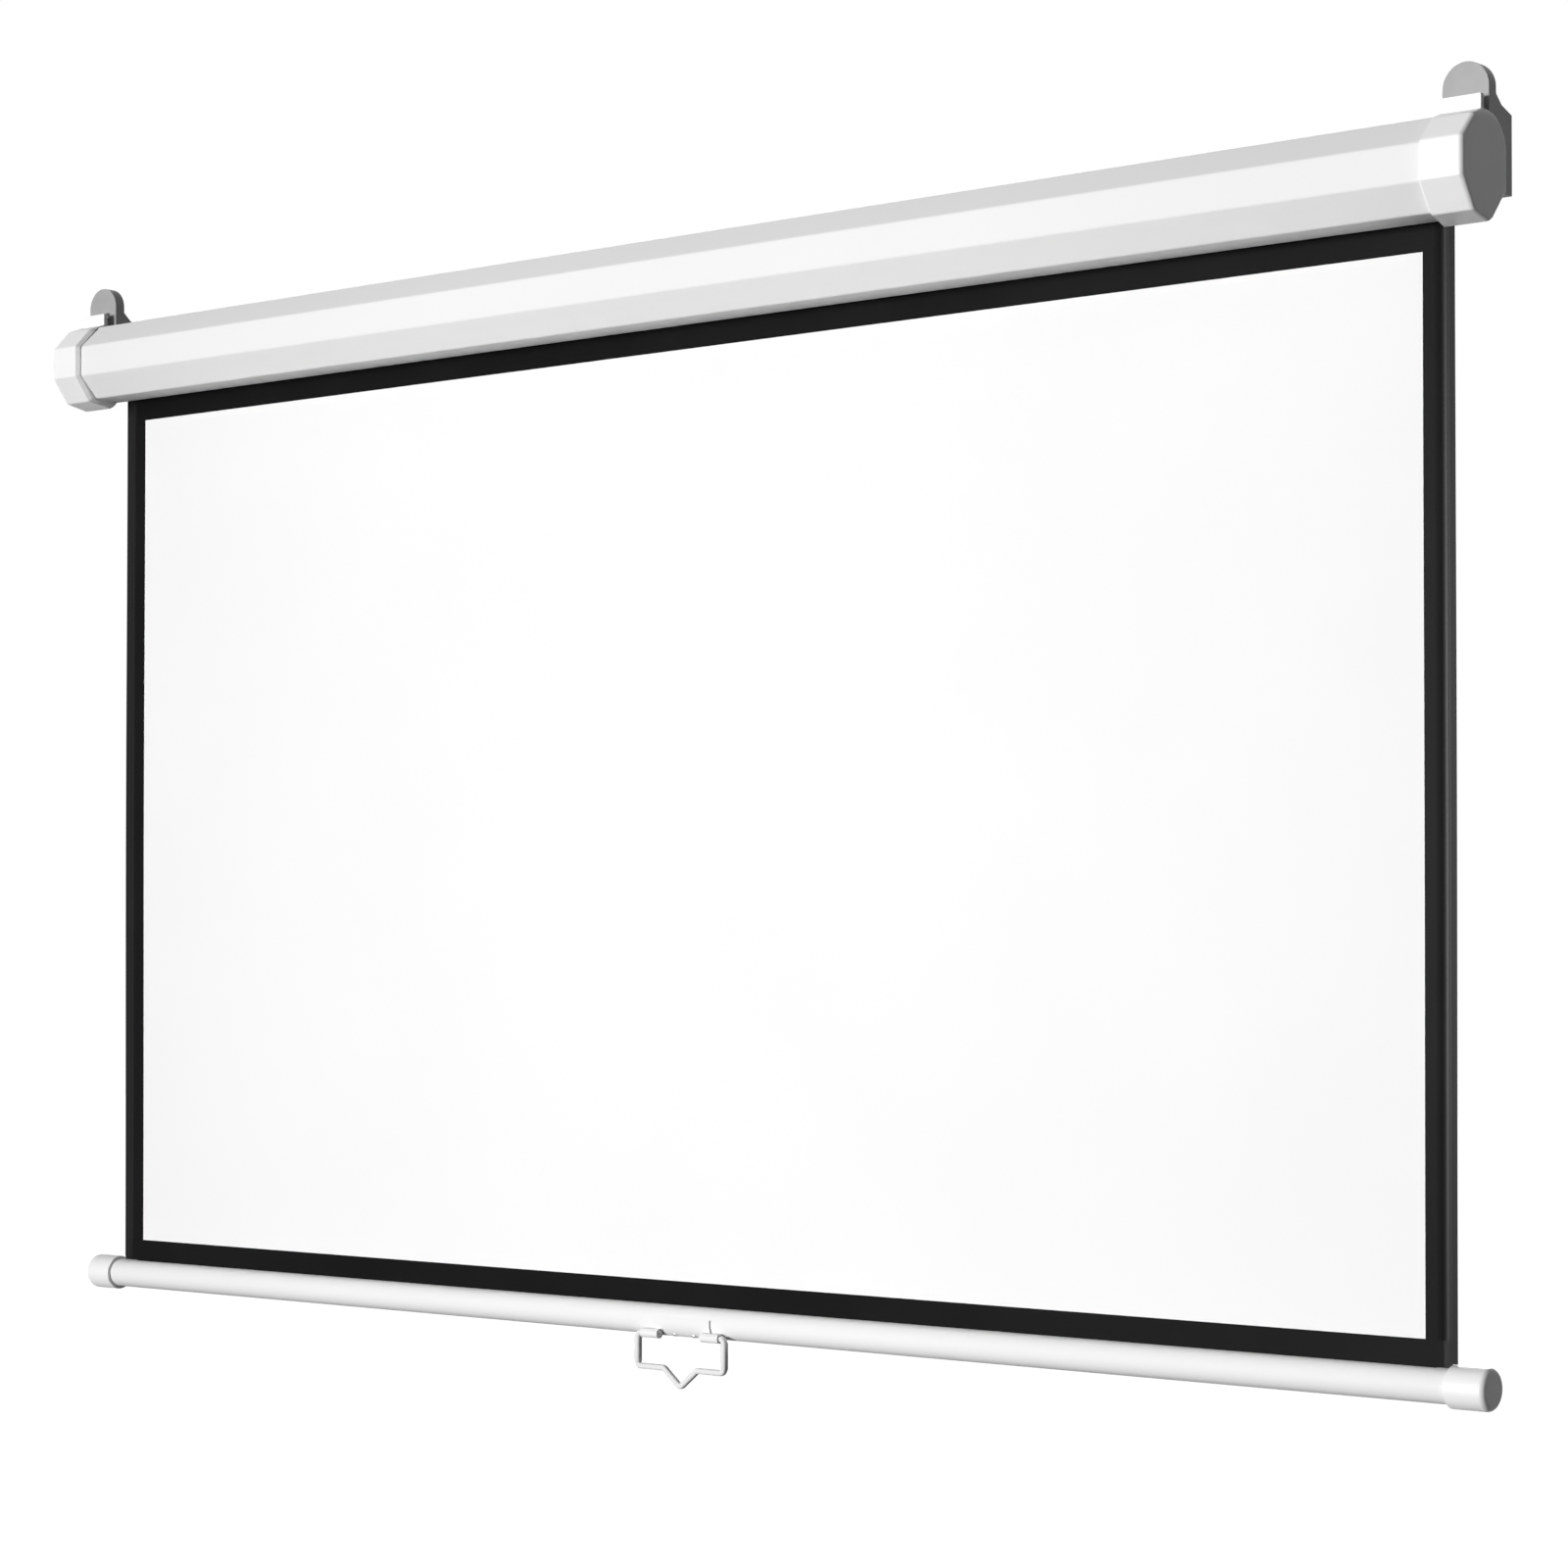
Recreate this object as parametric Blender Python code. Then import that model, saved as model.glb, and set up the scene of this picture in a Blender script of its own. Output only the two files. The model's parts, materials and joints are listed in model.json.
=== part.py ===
"""Pull down projector screen, a spring roller screen that hangs on two wall brackets.

Metres, +Z up, +X along the screen, +Y into the wall. The wall plane is y = 0, and z = 0 is the
housing's middle height. Outlines are lists of (y, z) points unless a comment says otherwise.
"""

import math

import bmesh
import bpy
from mathutils import Matrix, Vector

# Gap between touching pieces, and running clearance between turning ones
gap = 0.0003
running = 0.0003

# Screen cloth: a white 16:9 picture of 72 inches inside a black mask
view_width = 1.594
view_height = 0.897
view_top = -0.0615
side_border = 0.030
bottom_border = 0.02275
cloth_thickness = 0.0004
cloth_y = -0.020
hem_width = 0.012
hem_thickness = 0.0008

# Housing section
case_front = -0.083
case_rear = -0.0162
case_top = 0.040
case_bottom = -0.0395
case_wall = 0.001
front_face_top = 0.015
front_face_bottom = -0.0165
top_chamfer_depth = 0.0265
bottom_chamfer_depth = 0.021
rear_round = 0.0258
slot_front = -0.027
rear_wall_end = -0.022
lip_height = 0.005
case_corner = 0.004

# End caps
rim_to_cloth = 0.0035
cap_length = 0.042
hang_from_rim = 0.017
case_tuck = 0.012
cap_front = -0.088
cap_rear = -0.0135
cap_top = 0.0432
cap_face_top = 0.0155
cap_face_bottom = -0.0170
cap_rear_round = 0.0318
cap_edge = 0.0045
cap_top_fall = 1.8
cap_bottom_share = 0.4
cap_corner = 0.004
cap_end_wall = 0.004
cap_inner_ledge = 0.002
boss_width = 0.025
boss_length = 0.0195
block_width = 0.018
block_length = 0.0144

# Hanging lug on each cap, and the window it hooks into
lug_front = -0.050
lug_thickness = 0.0045
lug_top = 0.0555
lug_side = 0.001
lug_width = 0.0367
lug_foot = 0.036
tongue_width = 0.020
tongue_thickness = 0.003
hook_thickness = 0.0033
hook_drop = 0.0024
window_height = 0.006

# Wall brackets
bracket_width = 0.043
bracket_front = -0.038
bracket_depth = 0.012
bracket_top = 0.086
bracket_wall = 0.003
bracket_side_wall = 0.0025
bracket_bottom = -0.0215
bracket_shoulder = 0.059
bracket_knee = (-0.017, 0.051)
bracket_wall_top = 0.045
wall_hole_radius = 0.0025
wall_hole_heights = (-0.008, 0.028)

# Cap screws
screw_shank = 0.0015
screw_head = 0.003
screw_head_height = 0.0012
screw_length = 0.0052
screw_heights = (-0.014, 0.004)
screw_from_rim = 0.006

# Roller and what is wound on it
roller_radius = 0.019
roller_wall = 0.0012
roller_past_cloth = 0.001
wrap_turns = 1.5
wrap_pitch = 0.0007
groove_width = 0.0036
groove_depth = 0.0019
groove_wall = 0.0009
spline_from_end = 0.008
round_steps = 44

# Spring, spindle and ratchet, at the left end
flange_thickness = 0.003
plug_seat_length = 0.008
plug_hub_radius = 0.0104
plug_hub_length = 0.028
spindle_radius = 0.004
spindle_length = 0.340
tang_width = 0.006
tang_reach = 0.012
collar_radius = 0.008
pawl_thickness = 0.004
pawl_pin_circle = 0.013
pawl_pin_radius = 0.0015
pawl_head_radius = 0.003
pawl_tooth_angle = math.radians(57.3)
pawl_tooth_depth = 0.0059
pawl_tooth_half = 0.0012
pawl_inner = 0.0087
pawl_outer = 0.0114
pawl_swing = math.radians(14)
notch_half = 0.0026
notch_floor = 0.0054
spring_radius = 0.013
spring_wire = 0.0024
spring_turns = 21
spring_points = 8
anchor_thickness = 0.006
bearing_thickness = 0.006

# Idle end, at the right
idle_pin_radius = 0.003
idle_pin_reach = 0.026
idle_hub_radius = 0.008

# Bottom bar, which hangs a little to one side in the cloth's hem
bar_x = -0.006
bar_past_cloth = 0.0015
bar_radius = 0.01475
bar_wall = 0.001
bar_slot = 0.0024
bar_cap_radius = 0.018
bar_cap_length = 0.0372
bar_cap_edge = 0.005
cap_steps = 36
bar_plug_length = 0.013
hem_rod_radius = 0.003
hem_from_plug = 0.0025

# Wire handle and its clip
handle_x = -0.0025
wire_radius = 0.00275
leg_spacing = 0.109
handle_drop = 0.0321
vee_half = 0.021
vee_depth = 0.0172
wire_bend = 0.004
pivot_from_bar = 0.02075
pivot_angle = math.radians(216)
clip_thickness = 0.0015
clip_half = 0.035
clip_angles = (math.radians(165), math.radians(240))
knuckle_inner = 0.027
knuckle_outer = 0.049
knuckle_wall = 0.0015
rivet_spacing = 0.024
rivet_angle = math.radians(229)
rivet_radius = 0.0016
rivet_head = 0.0026
rivet_length = 0.005

# Worked out from the sizes above
view_bottom = view_top - view_height
cloth_half = view_width / 2 + side_border
rim = cloth_half + rim_to_cloth
cap_end = rim + cap_length
hang_x = rim + hang_from_rim
case_half = rim + case_tuck
roller_half = cloth_half + roller_past_cloth
wrap_start = roller_radius + gap + cloth_thickness / 2
wrap_end = wrap_start + wrap_turns * wrap_pitch
roller_y = cloth_y - wrap_end
flange_start = roller_half + gap
flange_end = flange_start + flange_thickness
pawl_start = flange_end + gap
pawl_end = pawl_start + pawl_thickness
boss_start = cap_end - cap_end_wall - boss_length
block_start = boss_start + gap
block_end = block_start + block_length
spindle_inner = block_start - spindle_length
bar_half = cloth_half + bar_past_cloth
bar_z = view_bottom - bottom_border - bar_radius
bar_cap_start = bar_half + gap
bar_cap_end = bar_cap_start + bar_cap_length
bar_centre = Vector((0, cloth_y, bar_z))

# From the middle of the bar, which is where the bar's own pieces are drawn about
pivot_y = pivot_from_bar * math.cos(pivot_angle)
pivot_z = pivot_from_bar * math.sin(pivot_angle)
mask_top = bar_radius + bottom_border - gap
hem_rod_z = bar_radius - bar_wall - 2 * gap - cloth_thickness - hem_rod_radius


def clear_scene():
    for obj in list(bpy.data.objects):
        bpy.data.objects.remove(obj, do_unlink=True)


def make_material(name, colour, roughness, metallic=0.0):
    material = bpy.data.materials.new(name)
    material.use_nodes = True
    shader = material.node_tree.nodes["Principled BSDF"]
    shader.inputs["Base Color"].default_value = (*colour, 1.0)
    shader.inputs["Roughness"].default_value = roughness
    shader.inputs["Metallic"].default_value = metallic
    return material


def face_out(bm):
    """Turn every face of a closed solid outwards."""
    bmesh.ops.recalc_face_normals(bm, faces=bm.faces)
    if bm.calc_volume(signed=True) < 0:
        bmesh.ops.reverse_faces(bm, faces=bm.faces)


def on_side(side, x0, x1):
    """Lowest and highest x of a stretch given as distances from the middle, on one side."""
    return (x0, x1) if side > 0 else (-x1, -x0)


def rounded(points, radius, steps=3, closed=False):
    """The same path with its corners as arcs; works for 2D and 3D points."""
    points = [Vector(p) for p in points]
    last = len(points) - 1
    path = []
    for i, corner in enumerate(points):
        if not closed and i in (0, last):
            path.append(corner)
            continue
        before = points[i - 1] - corner
        after = points[(i + 1) % len(points)] - corner
        opening = before.angle(after)
        if opening > math.radians(170):
            path.append(corner)
            continue
        reach = radius / math.tan(opening / 2)
        reach = min(reach, before.length * 0.45, after.length * 0.45)
        start = corner + before.normalized() * reach
        end = corner + after.normalized() * reach
        bisector = (before.normalized() + after.normalized()).normalized()
        centre = corner + bisector * (reach / math.cos(opening / 2))
        turn = math.pi - opening
        first = start - centre
        for k in range(steps + 1):
            share = k / steps
            low = math.sin(turn * (1 - share)) / math.sin(turn)
            high = math.sin(turn * share) / math.sin(turn)
            path.append(centre + first * low + (end - centre) * high)
    return path


def arc(centre, radius, start, end, steps):
    """Points from one angle to another, both included, in radians from +Y towards +Z."""
    angles = [start + (end - start) * k / steps for k in range(steps + 1)]
    return [(centre[0] + radius * math.cos(a), centre[1] + radius * math.sin(a)) for a in angles]


def offset(points, distance, closed=False):
    """The path moved to the right of its own direction, which is inwards on a clockwise one."""
    points = [Vector(p[:2]) for p in points]
    count = len(points)
    moved = []
    for i, point in enumerate(points):
        before = point - points[i - 1] if closed or i > 0 else None
        after = points[(i + 1) % count] - point if closed or i < count - 1 else None
        normals = [Vector((d.y, -d.x)).normalized() for d in (before, after) if d is not None]
        mitre = sum(normals, Vector((0, 0)))
        mitre.normalize()
        moved.append(point + mitre * (distance / mitre.dot(normals[0])))
    return moved


def sheet_outline(path, thickness):
    """Closed outline of a sheet whose outer side is the path."""
    return [Vector(p) for p in path] + offset(path, thickness)[::-1]


def centred_sheet(path, thickness):
    """Closed outline of a sheet whose middle is the path."""
    return offset(path, -thickness / 2) + offset(path, thickness / 2)[::-1]


def loft_x(sections):
    """Closed solid through sections of (x, outline) with the same number of points each."""
    bm = bmesh.new()
    rings = [[bm.verts.new((x, p[0], p[1])) for p in outline] for x, outline in sections]
    count = len(rings[0])
    for low, high in zip(rings, rings[1:]):
        for i in range(count):
            k = (i + 1) % count
            bm.faces.new((low[i], low[k], high[k], high[i]))
    bm.faces.new(rings[0])
    bm.faces.new(rings[-1])
    face_out(bm)
    return bm


def prism_x(outline, x0, x1):
    return loft_x([(x0, outline), (x1, outline)])


def prism_y(outline, y0, y1):
    """Prism along Y of an outline of (x, z) points."""
    bm = prism_x(outline, y0, y1)
    for vert in bm.verts:
        vert.co = (vert.co.y, vert.co.x, vert.co.z)
    face_out(bm)
    return bm


def box(x0, x1, y0, y1, z0, z1):
    return prism_x([(y0, z0), (y1, z0), (y1, z1), (y0, z1)], x0, x1)


def turned_x(profile, y, z, steps=32):
    """Solid turned about the line along X through (y, z), from a closed profile of (x, r)."""
    bm = bmesh.new()
    verts = [bm.verts.new((x, r, 0)) for x, r in profile]
    edges = [bm.edges.new((verts[i - 1], verts[i])) for i in range(len(verts))]
    bmesh.ops.spin(bm, geom=verts + edges, cent=(0, 0, 0), axis=(1, 0, 0),
                   angle=2 * math.pi, steps=steps)
    bmesh.ops.remove_doubles(bm, verts=bm.verts, dist=1e-6)
    on_axis = [e for e in bm.edges if all(abs(v.co.y) + abs(v.co.z) < 1e-7 for v in e.verts)]
    bmesh.ops.delete(bm, geom=on_axis, context="EDGES")
    bmesh.ops.translate(bm, verts=bm.verts, vec=(0, y, z))
    face_out(bm)
    return bm


def rod(start, end, radius, steps=24):
    """Plain round rod between two points, used for pins and for holes."""
    start, end = Vector(start), Vector(end)
    bm = turned_x([(0, 0), (0, radius), ((end - start).length, radius), ((end - start).length, 0)],
                  0, 0, steps)
    turn = Vector((1, 0, 0)).rotation_difference(end - start).to_matrix().to_4x4()
    bmesh.ops.transform(bm, verts=bm.verts, matrix=Matrix.Translation(start) @ turn)
    return bm


def joined(*meshes):
    """Several separate solids in one mesh."""
    whole = bmesh.new()
    for bm in meshes:
        part = bpy.data.meshes.new("part")
        bm.to_mesh(part)
        bm.free()
        whole.from_mesh(part)
        bpy.data.meshes.remove(part)
    return whole


pivots = {}


def add_pivot(name, origin, place, parent=None):
    """Empty on a joint's axis, at a place from the origin that its pieces are drawn about."""
    empty = bpy.data.objects.new(name, None)
    empty.empty_display_size = 0.02
    bpy.context.collection.objects.link(empty)
    pivots[name] = Vector(place)
    empty.location = Vector(origin) + pivots[name]
    if parent:
        empty.parent = bpy.data.objects[parent]
        empty.location = pivots[name] - pivots[parent]


def link_to_pivot(obj, pivot):
    bpy.context.collection.objects.link(obj)
    if pivot:
        obj.data.transform(Matrix.Translation(-pivots[pivot]))
        obj.parent = bpy.data.objects[pivot]
    return obj


def add_piece(name, bm, material, pivot=None, smooth=True):
    mesh = bpy.data.meshes.new(name)
    bm.to_mesh(mesh)
    bm.free()
    obj = link_to_pivot(bpy.data.objects.new(name, mesh), pivot)
    mesh.materials.append(material)
    if smooth:
        mesh.shade_smooth()
        mesh.set_sharp_from_angle(angle=math.radians(28))
    return obj


def add_wire(name, points, radius, material, pivot=None, resolution=2):
    """Round wire along points, as a curve with filled ends."""
    curve = bpy.data.curves.new(name, "CURVE")
    curve.dimensions = "3D"
    curve.bevel_depth = radius
    curve.bevel_resolution = resolution
    curve.use_fill_caps = True
    spline = curve.splines.new("POLY")
    spline.points.add(len(points) - 1)
    for place, point in zip(spline.points, points):
        place.co = (*point, 1.0)
    obj = link_to_pivot(bpy.data.objects.new(name, curve), pivot)
    curve.materials.append(material)
    return obj


def helper(name, bm, pivot=None):
    """A solid that only shapes other pieces."""
    mesh = bpy.data.meshes.new(name)
    bm.to_mesh(mesh)
    bm.free()
    obj = link_to_pivot(bpy.data.objects.new(name, mesh), pivot)
    obj.hide_render = True
    obj.display_type = "WIRE"
    return obj


def combine(obj, operation, tool):
    modifier = obj.modifiers.new(f"{operation.lower()} {tool.name}", "BOOLEAN")
    modifier.operation = operation
    modifier.solver = "EXACT"
    modifier.object = tool


white_steel = make_material("white_steel", (0.86, 0.86, 0.86), 0.42)
white_plastic = make_material("white_plastic", (0.88, 0.88, 0.88), 0.38)
grey_bracket = make_material("grey_bracket", (0.42, 0.42, 0.43), 0.5)
picture_white = make_material("picture_white", (0.93, 0.93, 0.93), 0.9)
mask_black = make_material("mask_black", (0.012, 0.012, 0.012), 0.75)
zinc = make_material("zinc", (0.62, 0.62, 0.64), 0.35, 1.0)
spring_steel = make_material("spring_steel", (0.35, 0.35, 0.37), 0.35, 1.0)
brown_plastic = make_material("roller_plastic", (0.55, 0.55, 0.55), 0.5)


def case_path():
    """Outer side of the housing's sheet, clockwise from the slot's front lip to the rear wall."""
    round_centre = (case_rear - rear_round, case_top - rear_round)
    corners = [
        (slot_front, case_bottom + lip_height),
        (slot_front, case_bottom),
        (case_front + bottom_chamfer_depth, case_bottom),
        (case_front, front_face_bottom),
        (case_front, front_face_top),
        (case_front + top_chamfer_depth, case_top),
        (round_centre[0], case_top),
    ]
    path = [corners[0], corners[1]] + [tuple(p) for p in rounded(corners[1:], case_corner)[1:]]
    path += arc(round_centre, rear_round, math.radians(90), 0, 8)[1:]
    return path + [(case_rear, rear_wall_end)]


def cap_outline(inset=0.0):
    """Outside of an end cap, clockwise from the rear chamfer's foot."""
    corners = [
        (cap_rear, -0.020),
        (-0.036, -0.045),
        (-0.042, -0.0483),
        (-0.069, -0.0428),
        (cap_front, cap_face_bottom),
        (cap_front, cap_face_top),
        (-0.068, 0.0365),
        (-0.050, cap_top),
    ]
    centre = (cap_rear - cap_rear_round, cap_top - cap_rear_round)
    path = [tuple(p) for p in rounded(corners, cap_corner)]
    path += arc(centre, cap_rear_round, math.radians(90), 0, 10)
    moved = []
    for (_, z), point in zip(path, offset(path, inset, closed=True)):
        height = min(point.y, cap_top - cap_top_fall * inset)
        if z < 0:
            height = z + cap_bottom_share * (height - z)
        moved.append(Vector((point.x, height)))
    return moved


def cap_body(side):
    """Cap with its outer edge rounded over, from the rim outwards."""
    sections = [(rim, cap_outline(0.0004)), (rim + 0.0006, cap_outline())]
    for k in range(5):
        turn = math.radians(90) * k / 4
        x = cap_end - cap_edge * (1 - math.sin(turn))
        sections.append((x, cap_outline(cap_edge * (1 - math.cos(turn)))))
    return loft_x([(side * x, outline) for x, outline in sections])


def screw_x(side):
    return side * (rim + screw_from_rim)


def make_case():
    case_shell = add_piece("case_shell", prism_x(sheet_outline(case_path(), case_wall), -case_half,
                                                 case_half), white_steel)
    holes = [rod((screw_x(side), case_rear + 0.002, z), (screw_x(side), case_rear - 0.003, z),
                 screw_shank + gap, 16) for side in (-1, 1) for z in screw_heights]
    combine(case_shell, "DIFFERENCE", helper("cut_case_screw_holes", joined(*holes)))


def make_end_cap(name, side, round_pocket):
    cap = add_piece(name, cap_body(side), white_plastic)

    lug = prism_x([(lug_front, lug_foot), (lug_front, lug_top),
                   (lug_front + lug_thickness, lug_top), (lug_front + lug_thickness, lug_foot)],
                  *on_side(side, rim + lug_side, rim + lug_side + lug_width))
    combine(cap, "UNION", helper(f"{name}_lug", lug))

    hook_front = bracket_front + bracket_wall + gap
    hook_rear = hook_front + hook_thickness
    under = lug_top - tongue_thickness
    root = lug_front + lug_thickness / 2
    tongue = prism_x([(root, under), (root, lug_top), (hook_rear, lug_top),
                      (hook_rear, under - hook_drop), (hook_front, under - hook_drop),
                      (hook_front, under)],
                     *on_side(side, hang_x - tongue_width / 2, hang_x + tongue_width / 2))
    combine(cap, "UNION", helper(f"{name}_tongue", tongue))

    socket = prism_x(offset(case_path(), -gap, closed=True), *on_side(side, rim - 0.002,
                                                                       case_half + gap))
    combine(cap, "DIFFERENCE", helper(f"cut_{name}_socket", socket))
    hollow = prism_x(offset(case_path(), cap_inner_ledge, closed=True),
                     *on_side(side, rim - 0.002, cap_end - cap_end_wall))
    combine(cap, "DIFFERENCE", helper(f"cut_{name}_hollow", hollow))

    half = boss_width / 2
    boss = box(*on_side(side, boss_start, cap_end - cap_end_wall / 2),
               roller_y - half, roller_y + half, -half, half)
    combine(cap, "UNION", helper(f"{name}_boss", boss))
    pocket_half = block_width / 2 + gap
    pocket_ends = (boss_start - 0.002, block_end + gap)
    if round_pocket:
        pocket = rod((side * pocket_ends[0], roller_y, 0), (side * pocket_ends[1], roller_y, 0),
                     pocket_half, 32)
    else:
        pocket = box(*on_side(side, *pocket_ends), roller_y - pocket_half, roller_y + pocket_half,
                     -pocket_half, pocket_half)
    combine(cap, "DIFFERENCE", helper(f"cut_{name}_pocket", pocket))

    bores = []
    for z in screw_heights:
        bores.append(rod((screw_x(side), cap_rear + 0.002, z),
                         (screw_x(side), cap_rear - screw_head_height - gap, z),
                         screw_head + gap, 20))
    combine(cap, "DIFFERENCE", helper(f"cut_{name}_counterbores", joined(*bores)))
    holes = [rod((screw_x(side), cap_rear + 0.002, z), (screw_x(side), case_rear - 0.002, z),
                 screw_shank + gap, 16) for z in screw_heights]
    combine(cap, "DIFFERENCE", helper(f"cut_{name}_screw_holes", joined(*holes)))


def bracket_outline(narrower=0.0, lower=0.0):
    """Front view of a bracket, as (x, z) about its own middle: a plate with a round top."""
    half = bracket_width / 2 - narrower
    round_z = bracket_top - lower - half
    dome = [(-half, bracket_bottom - 0.02)]
    dome += [(half * math.cos(a), round_z + half * math.sin(a))
             for a in [math.pi * (1 - k / 20) for k in range(21)]]
    return dome + [(half, bracket_bottom - 0.02)]


def make_bracket(name, side):
    rear = bracket_front + bracket_depth
    skin = [(bracket_front, 0.030), (bracket_front, bracket_top), (rear, bracket_top),
            (rear, bracket_shoulder), bracket_knee, (0, bracket_wall_top), (0, bracket_bottom),
            (-0.030, bracket_bottom)]
    round_centre = (cap_rear - cap_rear_round, cap_top - cap_rear_round)
    under = cap_rear_round + 2 * gap
    start = math.acos((bracket_front - round_centre[0]) / under)
    flange_front = cap_rear + gap
    profile = skin[1:-1] + [(flange_front, bracket_bottom)]
    profile += arc(round_centre, under, math.radians(1), start, 10)
    ends = on_side(side, hang_x - bracket_width / 2, hang_x + bracket_width / 2)
    bracket = add_piece(name, prism_x(profile, *ends), grey_bracket)

    def shifted(outline):
        return [(x + side * hang_x, z) for x, z in outline]

    front_view = helper(f"{name}_front_view", prism_y(shifted(bracket_outline()), -0.12, 0.02))
    combine(bracket, "INTERSECT", front_view)

    inner_ends = (ends[0] + bracket_side_wall, ends[1] - bracket_side_wall)
    hollow = helper(f"cut_{name}_hollow", prism_x(offset(skin, bracket_wall), *inner_ends))
    inner_view = prism_y(shifted(bracket_outline(bracket_side_wall, bracket_wall)), -0.14, 0.03)
    combine(hollow, "INTERSECT", helper(f"{name}_inner_view", inner_view))
    combine(bracket, "DIFFERENCE", hollow)

    window_floor = lug_top - tongue_thickness - gap
    half = tongue_width / 2 + 2 * gap
    window = box(*on_side(side, hang_x - half, hang_x + half), bracket_front - 0.002,
                 bracket_front + bracket_wall + 0.001, window_floor, window_floor + window_height)
    combine(bracket, "DIFFERENCE", helper(f"cut_{name}_window", window))
    holes = [rod((side * hang_x, -bracket_wall - 0.002, z), (side * hang_x, 0.002, z),
                 wall_hole_radius) for z in wall_hole_heights]
    combine(bracket, "DIFFERENCE", helper(f"cut_{name}_wall_holes", joined(*holes)))


def make_cap_screws():
    top = screw_head_height - gap
    profile = [(0, 0), (0, screw_head * 0.8), (0.0003, screw_head), (top, screw_head),
               (top, screw_shank), (screw_length, screw_shank), (screw_length + 0.001, 0)]
    inward = Matrix.Rotation(math.radians(-90), 4, "Z")
    for side_name, side in (("left", -1), ("right", 1)):
        for height, z in zip(("lower", "upper"), screw_heights):
            bm = turned_x(profile, 0, 0, 16)
            place = Matrix.Translation((screw_x(side), cap_rear - gap, z))
            bmesh.ops.transform(bm, verts=bm.verts, matrix=place @ inward)
            add_piece(f"cap_screw_{side_name}_{height}", bm, zinc)


def make_end_supports():
    half = block_width / 2
    holder = add_piece("tang_holder", box(*on_side(-1, block_start, block_end), roller_y - half,
                                          roller_y + half, -half, half), zinc, smooth=False)
    hole = tang_width / 2 + gap
    slot = box(*on_side(-1, block_start - 0.002, block_end - 0.002), roller_y - hole,
               roller_y + hole, -hole, hole)
    combine(holder, "DIFFERENCE", helper("cut_tang_slot", slot))

    bore = idle_pin_radius + running
    bore_end = block_end - 0.0024
    profile = [(block_start, bore), (block_start, half), (block_end, half), (block_end, 0),
               (bore_end, 0), (bore_end, bore)]
    add_piece("idle_bush", turned_x(profile, roller_y, 0), brown_plastic)


def make_spindle():
    profile = [(spindle_inner, 0), (spindle_inner, spindle_radius), (pawl_start, spindle_radius),
               (pawl_start, collar_radius), (pawl_end, collar_radius), (pawl_end, spindle_radius),
               (block_start - gap, spindle_radius), (block_start - gap, 0)]
    spindle = add_piece("spring_spindle", turned_x([(-x, r) for x, r in profile], roller_y, 0),
                        zinc)
    half = tang_width / 2
    tang = box(*on_side(-1, block_start - 0.002, block_start + tang_reach), roller_y - half,
               roller_y + half, -half, half)
    combine(spindle, "UNION", helper("spindle_tang", tang))
    notches = []
    for k in range(2):
        notch = box(-pawl_end - 0.001, -pawl_start + 0.001, notch_floor, collar_radius + 0.002,
                    -notch_half, notch_half)
        angle = math.radians(90) - pawl_tooth_angle + math.pi * k
        turn = Matrix.Rotation(angle, 4, "X")
        bmesh.ops.transform(notch, verts=notch.verts,
                            matrix=Matrix.Translation((0, roller_y, 0)) @ turn)
        notches.append(notch)
    combine(spindle, "DIFFERENCE", helper("cut_spindle_notches", joined(*notches)))

    anchor_end = spring_inner_end() - spring_wire / 2 - gap
    anchor_start = anchor_end - anchor_thickness
    radius = spring_radius + spring_wire / 4
    bore = spindle_radius + gap
    profile = [(anchor_start, bore), (anchor_start, radius), (anchor_end, radius),
               (anchor_end, bore)]
    add_piece("spring_anchor", turned_x([(-x, r) for x, r in profile], roller_y, 0), zinc)


def spring_inner_end():
    """Distance from the middle of the screen to the spring's fixed end."""
    return spindle_inner + bearing_thickness + anchor_thickness + 0.012


def roller_sections():
    """Matched outer and inner outlines of the tube, with the spline's groove at the front."""
    outer, inner = [], []
    half = groove_width / 2
    start = math.pi + math.asin(half / roller_radius)
    end = start + 2 * math.pi - 2 * math.asin(half / roller_radius)
    inner_radius = roller_radius - roller_wall
    inner_half = half + groove_wall
    lift = math.asin(inner_half / inner_radius)
    for k in range(round_steps + 1):
        share = k / round_steps
        a = start + (end - start) * share
        b = math.pi + lift + (2 * math.pi - 2 * lift) * share
        outer.append((roller_y + roller_radius * math.cos(a), roller_radius * math.sin(a)))
        inner.append((roller_y + inner_radius * math.cos(b), inner_radius * math.sin(b)))
    floor = roller_y - roller_radius + groove_depth
    outer += [(floor, half), (floor, -half)]
    inner += [(floor + groove_wall, inner_half), (floor + groove_wall, -inner_half)]
    return outer, inner


def make_roller_tube():
    outer, inner = roller_sections()
    bm = bmesh.new()
    count = len(outer)
    rings = [[bm.verts.new((x, *p)) for p in outline] for x in (-roller_half, roller_half)
             for outline in (outer, inner)]
    near_outer, near_inner, far_outer, far_inner = rings
    for i in range(count):
        k = (i + 1) % count
        bm.faces.new((near_outer[i], near_outer[k], far_outer[k], far_outer[i]))
        bm.faces.new((near_inner[i], near_inner[k], far_inner[k], far_inner[i]))
        bm.faces.new((near_outer[i], near_outer[k], near_inner[k], near_inner[i]))
        bm.faces.new((far_outer[i], far_outer[k], far_inner[k], far_inner[i]))
    face_out(bm)
    add_piece("roller_tube", bm, zinc, "roller_axis")


def add_keyed_plug(name, profile, side, key):
    """Turned plug in the tube's end, with a keyway for the tube's groove."""
    plug = add_piece(name, turned_x([(side * x, r) for x, r in profile], roller_y, 0, round_steps),
                     brown_plastic, "roller_axis")
    combine(plug, "DIFFERENCE", key)
    return plug


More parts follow.
